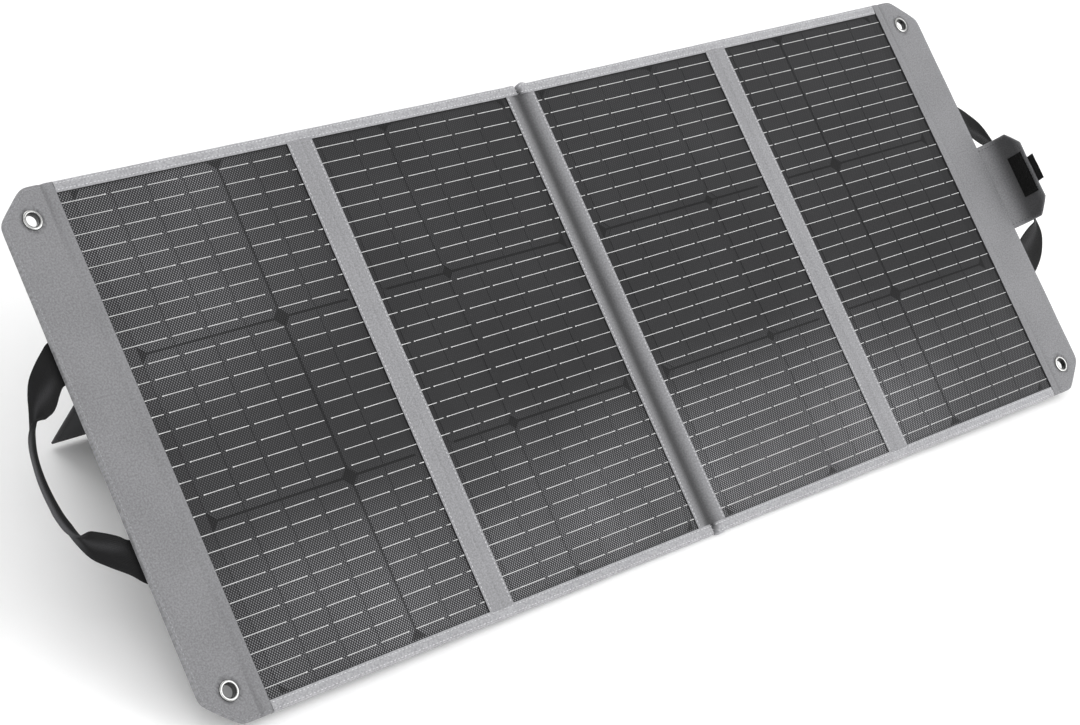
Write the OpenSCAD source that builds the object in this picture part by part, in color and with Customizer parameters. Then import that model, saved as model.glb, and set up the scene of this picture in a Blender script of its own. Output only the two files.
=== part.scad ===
// Folding solar panel in four fabric-hinged sections, standing tilted on two kickstands.
// Solar faces look towards -Y and up. Each half is built flat at the right, then placed or mirrored.

/* [Stance] */
// Angle between the open sections and the ground, degrees
panel_tilt = 33; // [28:1:38]
// Each half leans forward from the middle fold by this angle, degrees
half_lean = 1; // [0:0.25:2]

/* [Panels] */
// Height of every section, with its edge binding
panel_height = 584; // [560:2:600]
// Visible window of an outer section
outer_window = 299; // [296:1:310]
// Visible window of an inner section
inner_window = 297; // [294:1:310]
// Fabric band over the left and right folds
fold_band_width = 35; // [28:1:45]
// Fabric band over the middle fold
middle_band_width = 46; // [36:1:60]
// Edge binding seen on the front
binding_width = 12.6; // [10:0.2:16]

/* [Cells] */
// Side of a full cell
cell_size = 182; // [178:1:182]
// Gap between neighbouring cells
cell_gap = 3; // [2:0.5:4]
// Leg of the cut at each cell corner
corner_cut = 9; // [6:0.5:12]
// Gap between the strips of one cell
strip_gap = 0.6; // [0.4:0.1:1]

/* [End flaps] */
// Length of the plain fabric flap at each end
flap_length = 74; // [70:1:90]
// Eyelet bore radius
eyelet_bore_r = 7; // [5:0.5:8]
// Eyelet flange radius
eyelet_flange_r = 11.5; // [10:0.5:13]

/* [Handles and closure] */
// Webbing width at the sewn ends
webbing_width = 50; // [44:1:54]
// Closure flap width
closure_width = 120; // [100:2:130]
// Radius the closure flap curls to
closure_curl_r = 55; // [50:1:60]

/* [Kickstands] */
// Leg width
leg_width = 228; // [180:4:232]
// Leg length from its hinge to its foot
leg_length = 252; // [246:1:256]
// Height of the leg hinge above the middle of the panel
leg_hinge_y = 144; // [140:1:148]

/* [Hidden] */
$fn = 64;

// Layers through a section, from the back cover to the front fabric
fabric = 1;
board_top = 3.5;
laminate_top = 5.5;
cell_top = 5.9;
front_top = 6.6;
back_face = -fabric;
rear_face = -2 * fabric;
valley_z = 7.6;
mountain_z = -3;
tuck = 8;

// Stations along a half, measured from the middle fold
middle_edge = middle_band_width / 2;
inner_end = middle_edge + inner_window;
fold_x = inner_end + fold_band_width / 2;
outer_start = inner_end + fold_band_width;
outer_end = outer_start + outer_window;
half_length = outer_end + flap_length;
half_height = panel_height / 2;
seam_y = half_height - binding_width;
cover_y = half_height - fabric;
band_y = half_height - 2;
cell_margin = 7;
row_pitch = cell_size + cell_gap;
strip_count = 4;
rows = 3;
strip_pitch = cell_size / strip_count;
clear = 0.3;

// Where the open half stands
contact_drop = (rear_face - mountain_z) * cos(half_lean) + middle_edge * sin(half_lean) + mountain_z;
ground_z = half_height * sin(panel_tilt) - contact_drop * cos(panel_tilt);
bottom_front = front_top + (half_length - 38) * sin(half_lean);
front_y = -half_height * cos(panel_tilt) - bottom_front * sin(panel_tilt);
back_y = half_height * cos(panel_tilt) - contact_drop * sin(panel_tilt);

// Leg opening that puts the foot on the ground
panel_middle = (outer_start + outer_end) / 2;
leg_thick = 4;
leg_pivot_z = mountain_z - leg_thick / 2;
leg_inner_x = panel_middle - leg_width / 2;
pivot_rise = (leg_inner_x * sin(half_lean) + leg_pivot_z) * cos(panel_tilt);
pivot_height = leg_hinge_y * sin(panel_tilt) + pivot_rise + ground_z;
sole_drop = leg_thick / 2;
leg_open = 180 - asin((pivot_height - sole_drop) / leg_length) - panel_tilt;

// Places the pieces of a flat half into the standing panel
module stand() {
    translate([0, -(front_y + back_y) / 2, ground_z]) rotate([panel_tilt, 0, 0]) children();
}

module lean() {
    translate([0, 0, mountain_z]) rotate([0, -half_lean, 0]) translate([0, 0, -mountain_z]) children();
}

module right_half() {
    stand() lean() children();
}

module left_half() {
    stand() mirror([1, 0, 0]) lean() children();
}

// The middle bands lean both ways from the middle fold
module both_halves() {
    stand() for (side = [0, 1]) mirror([side, 0, 0]) lean() children();
}

// A box from one corner to the opposite one
module slab(low, high) {
    translate(low) cube(high - low);
}

module laminate(start, end) {
    color([0.10, 0.10, 0.11])
        slab([start - tuck, -cover_y, board_top], [end + tuck, cover_y, laminate_top]);
}

module board(start, end) {
    color([0.80, 0.80, 0.78])
        slab([start - tuck, -cover_y, 0], [end + tuck, cover_y, board_top]);
}

module back_cover(start, end) {
    color([0.35, 0.35, 0.37])
        slab([start - tuck, -cover_y, back_face], [end + tuck, cover_y, 0]);
}

// Fabric folded round the top or bottom edge
module binding(start, end, edge) {
    color([0.66, 0.66, 0.68])
        mirror([0, edge, 0])
            translate([start, 0, 0]) rotate([90, 0, 90])
                linear_extrude(end - start)
                    polygon([
                        [seam_y, laminate_top], [seam_y, front_top], [half_height, front_top],
                        [half_height, rear_face], [seam_y, rear_face], [seam_y, back_face],
                        [cover_y, back_face], [cover_y, laminate_top]
                    ]);
}

// Cell outline with its cut corners; a half cell keeps the cuts of one side
module cell_outline(width, cut_left, cut_right) {
    left = cut_left ? corner_cut : 0;
    right = cut_right ? corner_cut : 0;
    polygon([
        [left, 0], [width - right, 0], [width, right], [width, cell_size - right],
        [width - right, cell_size], [left, cell_size], [0, cell_size - left], [0, left]
    ]);
}

module cell_strips(width, cut_left, cut_right) {
    for (strip = [0 : width / strip_pitch - 1])
        intersection() {
            linear_extrude(cell_top - laminate_top) cell_outline(width, cut_left, cut_right);
            translate([strip * strip_pitch + strip_gap / 2, -1, -1])
                cube([strip_pitch - strip_gap, cell_size + 2, 3]);
        }
}

// Three rows of one full and one half cell; the half cell lies beside the fold band
module cells(start, end, half_first) {
    half_cell = cell_size / 2;
    half_x = half_first ? start + cell_margin : end - cell_margin - half_cell;
    full_x = half_first ? half_x + half_cell + cell_gap : half_x - cell_gap - cell_size;
    color([0.20, 0.20, 0.21])
        for (row = [0 : rows - 1])
            translate([0, (row - rows / 2) * row_pitch + cell_gap / 2, laminate_top]) {
                translate([full_x, 0, 0]) cell_strips(cell_size, true, true);
                translate([half_x, 0, 0]) cell_strips(half_cell, !half_first, half_first);
            }
}

module front_band(low, high) {
    color([0.58, 0.58, 0.60])
        slab([low, -band_y, laminate_top], [high, band_y, front_top]);
}

module back_band(low, high) {
    color([0.35, 0.35, 0.37])
        slab([low + clear, -band_y, rear_face], [high - clear, band_y, back_face]);
}

// End flap outline with cut corners
flap_corner = 37;
flap_corner_y = 33;
flap_back = 1.6;

module end_flap() {
    lip_end = outer_end + tuck + 2;
    color([0.57, 0.57, 0.59])
        difference() {
            union() {
                slab([outer_end, -half_height, laminate_top], [lip_end, half_height, front_top]);
                translate([0, 0, flap_back])
                    linear_extrude(front_top - flap_back)
                        polygon([
                            [outer_end + tuck, -half_height], [half_length - flap_corner, -half_height],
                            [half_length, -half_height + flap_corner_y],
                            [half_length, half_height - flap_corner_y],
                            [half_length - flap_corner, half_height], [outer_end + tuck, half_height]
                        ]);
            }
            for (side = [-1, 1])
                translate([eyelet_x, side * eyelet_y, flap_back - 1])
                    cylinder(r = eyelet_barrel_r, h = front_top + 2);
        }
}

// Eyelets: a rolled flange on the front, a washer at the back
eyelet_x = half_length - 35;
eyelet_y = half_height - 36;
eyelet_barrel_r = eyelet_bore_r + 0.6;
flange_rise = 1;

module eyelets() {
    color([0.80, 0.80, 0.82])
        for (side = [-1, 1])
            translate([eyelet_x, side * eyelet_y, 0])
                rotate_extrude()
                    polygon([
                        [eyelet_bore_r, flap_back - flange_rise], [eyelet_barrel_r, flap_back - flange_rise],
                        [eyelet_barrel_r, front_top], [eyelet_flange_r, front_top],
                        [eyelet_flange_r - 1.5, front_top + flange_rise - 0.2],
                        [eyelet_bore_r + 1, front_top + flange_rise - 0.2], [eyelet_bore_r, front_top]
                    ]);
}

module eyelet_washers() {
    color([0.75, 0.75, 0.77])
        for (side = [-1, 1])
            translate([eyelet_x, side * eyelet_y, flap_back - flange_rise])
                difference() {
                    cylinder(r = eyelet_flange_r, h = flange_rise);
                    translate([0, 0, -1]) cylinder(r = eyelet_barrel_r, h = flange_rise + 2);
                }
}

// Handle: one loop of webbing, flat where it is sewn on and folded on edge at the grip
handle_low = -1.6;
handle_high = 0.8;
handle_spread = 106;
grip_r = 106;
grip_thick = 4;
grip_low = -16;
grip_high = 6;
grip_half_sweep = 34;
grip_centre_x = -36;
grip_centre_y = -18;
root_gap = 1.5;

module flare(outer_y, inner_y, grip_end_y, bulge) {
    grip_end_x = grip_centre_x + grip_r * cos(grip_half_sweep);
    linear_extrude(handle_high - handle_low)
        polygon([
            [0, outer_y], [bulge, (outer_y + grip_end_y) / 2 + sign(outer_y) * 4],
            [grip_end_x, grip_end_y], [grip_end_x - grip_thick, grip_end_y],
            [grip_end_x - 24, inner_y - sign(inner_y) * 20], [0, inner_y]
        ]);
}

module handle() {
    outer = handle_spread + webbing_width / 2;
    inner = handle_spread - webbing_width / 2;
    grip_rise = grip_r * sin(grip_half_sweep);
    color([0.06, 0.06, 0.065])
        translate([half_length + root_gap, 0, 0]) {
            translate([0, 0, handle_low]) flare(outer, inner, grip_centre_y + grip_rise, 42);
            translate([0, 0, handle_low]) flare(-outer, -inner, grip_centre_y - grip_rise, 38);
            translate([grip_centre_x, grip_centre_y, grip_low])
                rotate([0, 0, -grip_half_sweep - 1])
                    rotate_extrude(angle = 2 * grip_half_sweep + 2)
                        translate([grip_r - grip_thick, 0]) square([grip_thick, grip_high - grip_low]);
        }
}

module handle_sewn_ends() {
    sewn = 34;
    color([0.06, 0.06, 0.065])
        for (side = [-1, 1])
            translate([half_length - sewn, side * handle_spread - webbing_width / 2, handle_low])
                cube([sewn - root_gap, webbing_width, flap_back - handle_low]);
}

// Closure flap at the right end: it curls up from the edge, hook patch inside the curl
closure_root_angle = 40;
closure_sweep = 66;
closure_thick = 2;
closure_root_z = 4;
closure_root_gap = 1.8;
closure_shoulder = 19;

module closure_sheet(inner_r, outer_r, width, from, to) {
    centre_x = half_length + closure_root_gap - closure_curl_r * sin(closure_root_angle);
    centre_z = closure_root_z + closure_curl_r * cos(closure_root_angle);
    translate([centre_x, 0, centre_z]) rotate([90, 0, 0])
        rotate([0, 0, from + closure_root_angle - 90])
            rotate_extrude(angle = to - from)
                translate([inner_r, -width / 2]) square([outer_r - inner_r, width]);
}

module closure_flap() {
    swing = closure_root_angle + closure_sweep - 90;
    top = closure_root_z + closure_curl_r * (cos(closure_root_angle) + sin(swing));
    side = closure_width / 2;
    color([0.55, 0.55, 0.57])
        intersection() {
            closure_sheet(closure_curl_r - closure_thick, closure_curl_r, closure_width, 0, closure_sweep);
            translate([half_length - 1, 0, 0]) rotate([90, 0, 90])
                linear_extrude(closure_curl_r)
                    polygon([
                        [-side, 0], [side, 0], [side, top - closure_shoulder],
                        [side - closure_shoulder, top + 1], [-side + closure_shoulder, top + 1],
                        [-side, top - closure_shoulder]
                    ]);
        }
}

module closure_hook_patch() {
    patch_width = 58;
    inner = closure_curl_r - closure_thick;
    color([0.05, 0.05, 0.05])
        closure_sheet(inner - 1.2, inner, patch_width, 34, 60);
}

module closure_pull_tab() {
    tab_width = 36;
    tab_from = closure_sweep - 10;
    tab_to = closure_sweep + 15;
    color([0.05, 0.05, 0.05])
        closure_sheet(closure_curl_r, closure_curl_r + 2.4, tab_width, tab_from, tab_to);
}

module closure_loop_patch() {
    color([0.05, 0.05, 0.05])
        slab([half_length - 50, -32, flap_back - 1.2], [half_length - 20, 32, flap_back]);
}

// Kickstand leg, turned open about its hinge: a stiff board in a fabric sleeve
leg_skin = 0.8;
leg_root = 3;
board_inset = leg_skin + 0.1;

module leg_frame() {
    translate([panel_middle, leg_hinge_y, leg_pivot_z]) rotate([leg_open, 0, 0]) children();
}

module kickstand_cover() {
    color([0.32, 0.32, 0.34])
        leg_frame() difference() {
            slab([-leg_width / 2, -leg_length, -leg_thick / 2], [leg_width / 2, -leg_root, leg_thick / 2]);
            slab(
                [-leg_width / 2 + leg_skin, -leg_length + leg_skin, -leg_thick / 2 + leg_skin],
                [leg_width / 2 - leg_skin, -leg_root - leg_skin, leg_thick / 2 - leg_skin]
            );
        }
}

module kickstand_board() {
    color([0.80, 0.80, 0.78])
        leg_frame() slab(
            [-leg_width / 2 + board_inset, -leg_length + board_inset, -leg_thick / 2 + board_inset],
            [leg_width / 2 - board_inset, -leg_root - board_inset, leg_thick / 2 - board_inset]
        );
}

// Tether: webbing from the inner face of the leg to the back cover
tether_width = 25;
tether_anchor_y = -130;
tether_leg_reach = 200;
tether_thick = 1.5;

module kickstand_tether() {
    face = leg_thick / 2 + clear;
    leg_y = leg_hinge_y - tether_leg_reach * cos(leg_open) - face * sin(leg_open);
    leg_z = leg_pivot_z - tether_leg_reach * sin(leg_open) + face * cos(leg_open);
    run_y = leg_y - tether_anchor_y;
    run_z = leg_z - rear_face;
    length = sqrt(run_y * run_y + run_z * run_z);
    color([0.06, 0.06, 0.065])
        translate([panel_middle - tether_width / 2, tether_anchor_y, rear_face])
            rotate([atan2(run_z, run_y), 0, 0])
                translate([0, 2, -tether_thick]) cube([tether_width, length - 4, tether_thick]);
}

// Zipped pocket on the back of the outer right section
pocket_width = 240;
pocket_low = -250;
pocket_high = -158;
pocket_depth = 20;
pocket_wall = 1.2;
pocket_face = back_face - pocket_depth;

module cable_pocket() {
    left = panel_middle - pocket_width / 2;
    right = panel_middle + pocket_width / 2;
    color([0.32, 0.32, 0.34])
        difference() {
            slab([left, pocket_low, pocket_face], [right, pocket_high, back_face]);
            slab(
                [left + pocket_wall, pocket_low + pocket_wall, pocket_face + pocket_wall],
                [right - pocket_wall, pocket_high - pocket_wall, back_face + 1]
            );
        }
}

zip_y = pocket_high - 16;
zip_width = 8;
zip_thick = 1.4;
zip_length = 216;

module pocket_zip() {
    color([0.05, 0.05, 0.05])
        slab(
            [panel_middle - zip_length / 2, zip_y - zip_width / 2, pocket_face - zip_thick],
            [panel_middle + zip_length / 2, zip_y + zip_width / 2, pocket_face]
        );
}

module zip_pull() {
    slider = 9;
    pull_length = 22;
    pull_x = panel_middle - zip_length / 2 + slider;
    top = pocket_face - zip_thick - clear;
    color([0.55, 0.55, 0.57]) {
        slab([pull_x - slider / 2, zip_y - 4, top - 3], [pull_x + slider / 2, zip_y + 4, top]);
        slab([pull_x - 2.5, zip_y - pull_length - 4, top - 2.4], [pull_x + 2.5, zip_y - 4, top - 0.9]);
    }
}

// Junction box inside the pocket
box_width = 90;
box_low = -240;
box_high = -180;
box_depth = 14;
box_wall = 2;
box_lid = 2.4;
box_face = back_face - box_depth;
screw_inset = 5;
socket_y = box_low + 18;
socket_r = 4;

module junction_box_base() {
    left = panel_middle - box_width / 2;
    right = panel_middle + box_width / 2;
    color([0.08, 0.08, 0.085])
        difference() {
            union() {
                difference() {
                    slab([left, box_low, box_face], [right, box_high, back_face]);
                    slab(
                        [left + box_wall, box_low + box_wall, box_face - 1],
                        [right - box_wall, box_high - box_wall, back_face - box_wall]
                    );
                }
                screw_posts(3.4);
            }
            screw_holes();
            translate([right - 5, socket_y, box_face + 7]) rotate([0, 90, 0]) cylinder(r = socket_r, h = 10);
        }
}

module box_corners() {
    for (x = [-1, 1], y = [box_low + screw_inset, box_high - screw_inset])
        translate([panel_middle + x * (box_width / 2 - screw_inset), y, 0]) children();
}

module screw_posts(radius) {
    box_corners() translate([0, 0, box_face]) cylinder(r = radius, h = box_depth - box_wall / 2);
}

module screw_holes() {
    box_corners() translate([0, 0, box_face - 1]) cylinder(r = 1.5, h = 10);
}

module junction_box_lid() {
    color([0.08, 0.08, 0.085])
        difference() {
            slab(
                [panel_middle - box_width / 2, box_low, box_face - box_lid],
                [panel_middle + box_width / 2, box_high, box_face]
            );
            box_corners() translate([0, 0, box_face - box_lid - 1]) cylinder(r = 1.6, h = box_lid + 2);
        }
}

module junction_box_screws() {
    color([0.70, 0.70, 0.72])
        box_corners() {
            translate([0, 0, box_face - box_lid]) cylinder(r = 1.45, h = 9);
            translate([0, 0, box_face - box_lid - 1.4]) cylinder(r = 2.7, h = 1.4);
        }
}

module circuit_board() {
    gap = 7;
    color([0.10, 0.30, 0.16])
        slab(
            [panel_middle - box_width / 2 + box_wall + gap, box_low + box_wall + gap, back_face - 5],
            [panel_middle + box_width / 2 - box_wall - gap, box_high - box_wall - gap, back_face - 3.4]
        );
}

module bypass_diodes() {
    spacing = 14;
    color([0.05, 0.05, 0.05])
        for (place = [-1.5, -0.5, 0.5, 1.5])
            translate([panel_middle + place * spacing, (box_low + box_high) / 2 - 5, back_face - 5 - 3])
                rotate([-90, 0, 0]) cylinder(r = 2.6, h = 10);
}

module output_socket() {
    right = panel_middle + box_width / 2;
    color([0.12, 0.12, 0.12])
        translate([right - 6, socket_y, box_face + 7]) rotate([0, 90, 0])
            difference() {
                union() {
                    cylinder(r = socket_r - 0.1, h = 12);
                    translate([0, 0, 6.2]) cylinder(r = socket_r + 1.2, h = 1.6);
                }
                translate([0, 0, 2]) cylinder(r = 2.6, h = 11);
            }
}

left_half() laminate(outer_start, outer_end);  // outer_left_laminate
left_half() cells(outer_start, outer_end, true);  // outer_left_cells
left_half() board(outer_start, outer_end);  // outer_left_board
left_half() back_cover(outer_start, outer_end);  // outer_left_back_cover
left_half() binding(outer_start, outer_end, 0);  // outer_left_top_binding
left_half() binding(outer_start, outer_end, 1);  // outer_left_bottom_binding
left_half() laminate(middle_edge, inner_end);  // inner_left_laminate
left_half() cells(middle_edge, inner_end, false);  // inner_left_cells
left_half() board(middle_edge, inner_end);  // inner_left_board
left_half() back_cover(middle_edge, inner_end);  // inner_left_back_cover
left_half() binding(middle_edge, inner_end, 0);  // inner_left_top_binding
left_half() binding(middle_edge, inner_end, 1);  // inner_left_bottom_binding
right_half() laminate(middle_edge, inner_end);  // inner_right_laminate
right_half() cells(middle_edge, inner_end, false);  // inner_right_cells
right_half() board(middle_edge, inner_end);  // inner_right_board
right_half() back_cover(middle_edge, inner_end);  // inner_right_back_cover
right_half() binding(middle_edge, inner_end, 0);  // inner_right_top_binding
right_half() binding(middle_edge, inner_end, 1);  // inner_right_bottom_binding
right_half() laminate(outer_start, outer_end);  // outer_right_laminate
right_half() cells(outer_start, outer_end, true);  // outer_right_cells
right_half() board(outer_start, outer_end);  // outer_right_board
right_half() back_cover(outer_start, outer_end);  // outer_right_back_cover
right_half() binding(outer_start, outer_end, 0);  // outer_right_top_binding
right_half() binding(outer_start, outer_end, 1);  // outer_right_bottom_binding
left_half() front_band(inner_end, outer_start);  // left_fold_band
both_halves() front_band(0, middle_edge);  // middle_fold_band
right_half() front_band(inner_end, outer_start);  // right_fold_band
left_half() back_band(inner_end, outer_start);  // left_fold_back_band
both_halves() back_band(-2 * clear, middle_edge);  // middle_fold_back_band
right_half() back_band(inner_end, outer_start);  // right_fold_back_band
left_half() end_flap();  // left_end_flap
right_half() end_flap();  // right_end_flap
left_half() eyelets();  // left_eyelets
right_half() eyelets();  // right_eyelets
left_half() eyelet_washers();  // left_eyelet_washers
right_half() eyelet_washers();  // right_eyelet_washers
left_half() handle();  // left_handle
right_half() handle();  // right_handle
left_half() handle_sewn_ends();  // left_handle_sewn_ends
right_half() handle_sewn_ends();  // right_handle_sewn_ends
right_half() closure_flap();
right_half() closure_hook_patch();
right_half() closure_pull_tab();
left_half() closure_loop_patch();
left_half() kickstand_cover();  // left_kickstand_cover
left_half() kickstand_board();  // left_kickstand_board
left_half() kickstand_tether();  // left_kickstand_tether
right_half() kickstand_cover();  // right_kickstand_cover
right_half() kickstand_board();  // right_kickstand_board
right_half() kickstand_tether();  // right_kickstand_tether
right_half() cable_pocket();
right_half() pocket_zip();
right_half() zip_pull();
right_half() junction_box_base();
right_half() junction_box_lid();
right_half() junction_box_screws();
right_half() circuit_board();
right_half() bypass_diodes();
right_half() output_socket();
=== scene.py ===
import math

import bmesh
import bpy
from mathutils import Matrix, Vector, noise


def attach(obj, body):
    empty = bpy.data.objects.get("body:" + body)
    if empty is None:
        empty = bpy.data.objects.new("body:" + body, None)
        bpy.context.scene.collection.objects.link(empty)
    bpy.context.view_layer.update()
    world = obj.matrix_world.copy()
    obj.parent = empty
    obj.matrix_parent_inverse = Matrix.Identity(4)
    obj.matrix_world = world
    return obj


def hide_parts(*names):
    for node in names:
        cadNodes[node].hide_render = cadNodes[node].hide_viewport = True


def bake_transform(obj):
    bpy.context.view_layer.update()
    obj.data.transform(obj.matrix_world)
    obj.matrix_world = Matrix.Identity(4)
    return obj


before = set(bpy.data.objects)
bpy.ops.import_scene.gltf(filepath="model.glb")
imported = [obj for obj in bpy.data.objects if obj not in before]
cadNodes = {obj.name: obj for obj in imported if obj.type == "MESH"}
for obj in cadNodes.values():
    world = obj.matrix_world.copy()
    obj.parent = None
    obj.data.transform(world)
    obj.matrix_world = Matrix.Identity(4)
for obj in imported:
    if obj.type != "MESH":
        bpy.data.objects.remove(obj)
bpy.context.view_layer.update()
scene = bpy.context.scene
print("frame loaded, with", len(cadNodes), "pieces")

# The panel opened flat, in millimetres: x out from the middle fold, y up the panel, z out of the solar face
panel = {
    "tilt": math.radians(33),
    "lean": math.radians(1),
    "shiftY": 4.641254,
    "groundZ": 160.37542,
    "mountainZ": -3,
    "halfHeight": 292,
    "bandY": 290,
    "middleEdge": 23,
    "innerEnd": 320,
    "foldX": 337.5,
    "outerStart": 355,
    "outerEnd": 654,
    "halfLength": 728,
    "laminateTop": 5.5,
    "cellTop": 5.9,
}
sections = {
    "inner": (panel["middleEdge"], panel["innerEnd"]),
    "outer": (panel["outerStart"], panel["outerEnd"]),
}
sides = ("left", "right")

# From a flat half in millimetres to where it stands, in metres
standUp = (
    Matrix.Scale(0.001, 4)
    @ Matrix.Translation((0, panel["shiftY"], panel["groundZ"]))
    @ Matrix.Rotation(panel["tilt"], 4, "X")
)
leanIn = (
    Matrix.Translation((0, 0, panel["mountainZ"]))
    @ Matrix.Rotation(-panel["lean"], 4, "Y")
    @ Matrix.Translation((0, 0, -panel["mountainZ"]))
)
halves = {
    "right": standUp @ leanIn,
    "left": standUp @ Matrix.Diagonal((-1, 1, 1, 1)) @ leanIn,
    "middle": standUp,
}


def placed(point, half):
    return halves[half] @ Vector(point)


def smoothStep(low, high, value):
    share = min(1, max(0, (value - low) / (high - low)))
    return share * share * (3 - 2 * share)


def leanBoth(co):
    # near the middle fold each side leans with its own half
    share = smoothStep(0, 8, abs(co.x))
    way = 1 if co.x >= 0 else -1
    leaned = leanIn @ Vector((abs(co.x), co.y, co.z))
    return co.lerp(Vector((way * leaned.x, co.y, leaned.z)), share)


def bump(distance, width):
    return math.exp(-((distance / width) ** 2))


def softLeast(a, b, rounding):
    least = min(a, b)
    both = math.exp((least - a) / rounding) + math.exp((least - b) / rounding)
    return least - rounding * math.log(both)


def ripple(x, y, size, seed=0.0):
    # a slow unevenness from -1 to 1
    return noise.noise(Vector((x / size, y / size, seed)))


# Materials


def addNode(tree, kind, inputs=None, **settings):
    made = tree.nodes.new("ShaderNode" + kind)
    for key, value in settings.items():
        setattr(made, key, value)
    for key, value in (inputs or {}).items():
        if isinstance(value, bpy.types.NodeSocket):
            tree.links.new(value, made.inputs[key])
        else:
            made.inputs[key].default_value = value
    return made


def mathNode(tree, operation, a, b=0.0):
    return addNode(tree, "Math", {0: a, 1: b}, operation=operation).outputs[0]


def times(tree, a, b):
    return mathNode(tree, "MULTIPLY", a, b)


def plus(tree, a, b):
    return mathNode(tree, "ADD", a, b)


def ranged(tree, value, fromLow, fromHigh, toLow, toHigh):
    inputs = {"Value": value, "From Min": fromLow, "From Max": fromHigh, "To Min": toLow, "To Max": toHigh}
    return addNode(tree, "MapRange", inputs, interpolation_type="SMOOTHSTEP").outputs[0]


def noiseNode(tree, place, scale, detail=3.0, roughness=0.55):
    inputs = {"Vector": place, "Scale": scale, "Detail": detail, "Roughness": roughness}
    return addNode(tree, "TexNoise", inputs).outputs[0]


def amountNode(tree, word):
    return addNode(tree, "Attribute", attribute_name=word).outputs["Fac"]


def waveOf(tree, value, pitch):
    return mathNode(tree, "SINE", times(tree, value, 2 * math.pi / pitch))


# A pattern on a kept piece is turned, and moved by this much, so that it runs with the panel
patternShift = (0, -0.0912, -0.132)


def startMaterial(name, onCad, **sockets):
    material = bpy.data.materials.new(name)
    material.use_nodes = True
    tree = material.node_tree
    tree.nodes.clear()
    output = addNode(tree, "OutputMaterial")
    shader = addNode(tree, "BsdfPrincipled", {key.replace("_", " "): value for key, value in sockets.items()})
    tree.links.new(shader.outputs[0], output.inputs[0])
    if onCad:
        coords = addNode(tree, "TexCoord").outputs["Object"]
        turned = {"Vector": coords, "Rotation": (-panel["tilt"], 0, 0), "Location": patternShift}
        place = addNode(tree, "Mapping", turned).outputs[0]
    else:
        place = addNode(tree, "Attribute", attribute_name="flatPlace").outputs["Vector"]
    return material, tree, shader, place


def paint(tree, shader, colour, brightness):
    shaded = addNode(tree, "HueSaturation", {"Color": (*colour, 1), "Value": brightness})
    tree.links.new(shaded.outputs[0], shader.inputs["Base Color"])


def roughen(tree, shader, grain, least, most):
    tree.links.new(ranged(tree, grain, 0.2, 0.8, least, most), shader.inputs["Roughness"])


def raiseSurface(tree, shader, height, strength, distance):
    inputs = {"Height": height, "Strength": strength, "Distance": distance}
    tree.links.new(addNode(tree, "Bump", inputs).outputs[0], shader.inputs["Normal"])


def wovenFabric(name, colour, pitch=0.0011, grain=0.12, mottle=0.04, grainScale=620.0):
    # plain weave, with a fine grain, slow mottling, paler scuffed edges, some painted highlight, and painted
    # shade in creases
    material, tree, shader, place = startMaterial(
        name, False, Sheen_Weight=0.12, Sheen_Roughness=0.5, Specular_IOR_Level=0.25
    )
    apart = addNode(tree, "SeparateXYZ", {0: place}).outputs
    threads = times(tree, waveOf(tree, apart[0], pitch), waveOf(tree, apart[1], pitch))
    fine = noiseNode(tree, place, grainScale, 2.0)
    slow = noiseNode(tree, place, 16.0, 4.0)
    # a patchy lift for scuffed places; along the outer fold bands it carries a painted highlight
    rubbedAndShine = ranged(tree, noiseNode(tree, place, 260.0), 0.35, 0.7, 0.0, 0.22)
    # paler scuffed edges, and the painted highlight of the band ridges
    wornAndShine = times(tree, amountNode(tree, "wearAndPaintedShine"), rubbedAndShine)
    brightness = plus(
        tree,
        ranged(tree, fine, 0.25, 0.75, 1 - grain, 1 + grain),
        ranged(tree, slow, 0.3, 0.7, -mottle, mottle),
    )
    brightness = plus(tree, brightness, times(tree, threads, grain * 0.5))
    # painted shade: the crease amount darkens the cloth in grooves, seams and curls, where shade falls
    crease = times(tree, amountNode(tree, "crease"), 0.7)
    brightness = times(tree, brightness, mathNode(tree, "SUBTRACT", 1.0, crease))
    paint(tree, shader, colour, plus(tree, brightness, wornAndShine))
    roughen(tree, shader, fine, 0.85, 0.95)
    raiseSurface(tree, shader, plus(tree, times(tree, threads, 0.5), fine), 0.35, 0.0006)
    return material


# The film's patterns, then where its dots carry a painted glint: from, to, and how much at each of the two
film = {
    "dotPitch": (0.0035, 0.0039),
    "fingerPitch": 0.0015,
    "leftEnd": (-0.62, -0.3, 1.0, 0.12),
    "upTheLeft": (-0.02, 0.2, 0.22, 1.0),
    "lowestRow": (-0.25, -0.04, 1.0, 0.0),
    "rightEnd": (0.3, 0.6, 1.0, 0.35),
}


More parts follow.
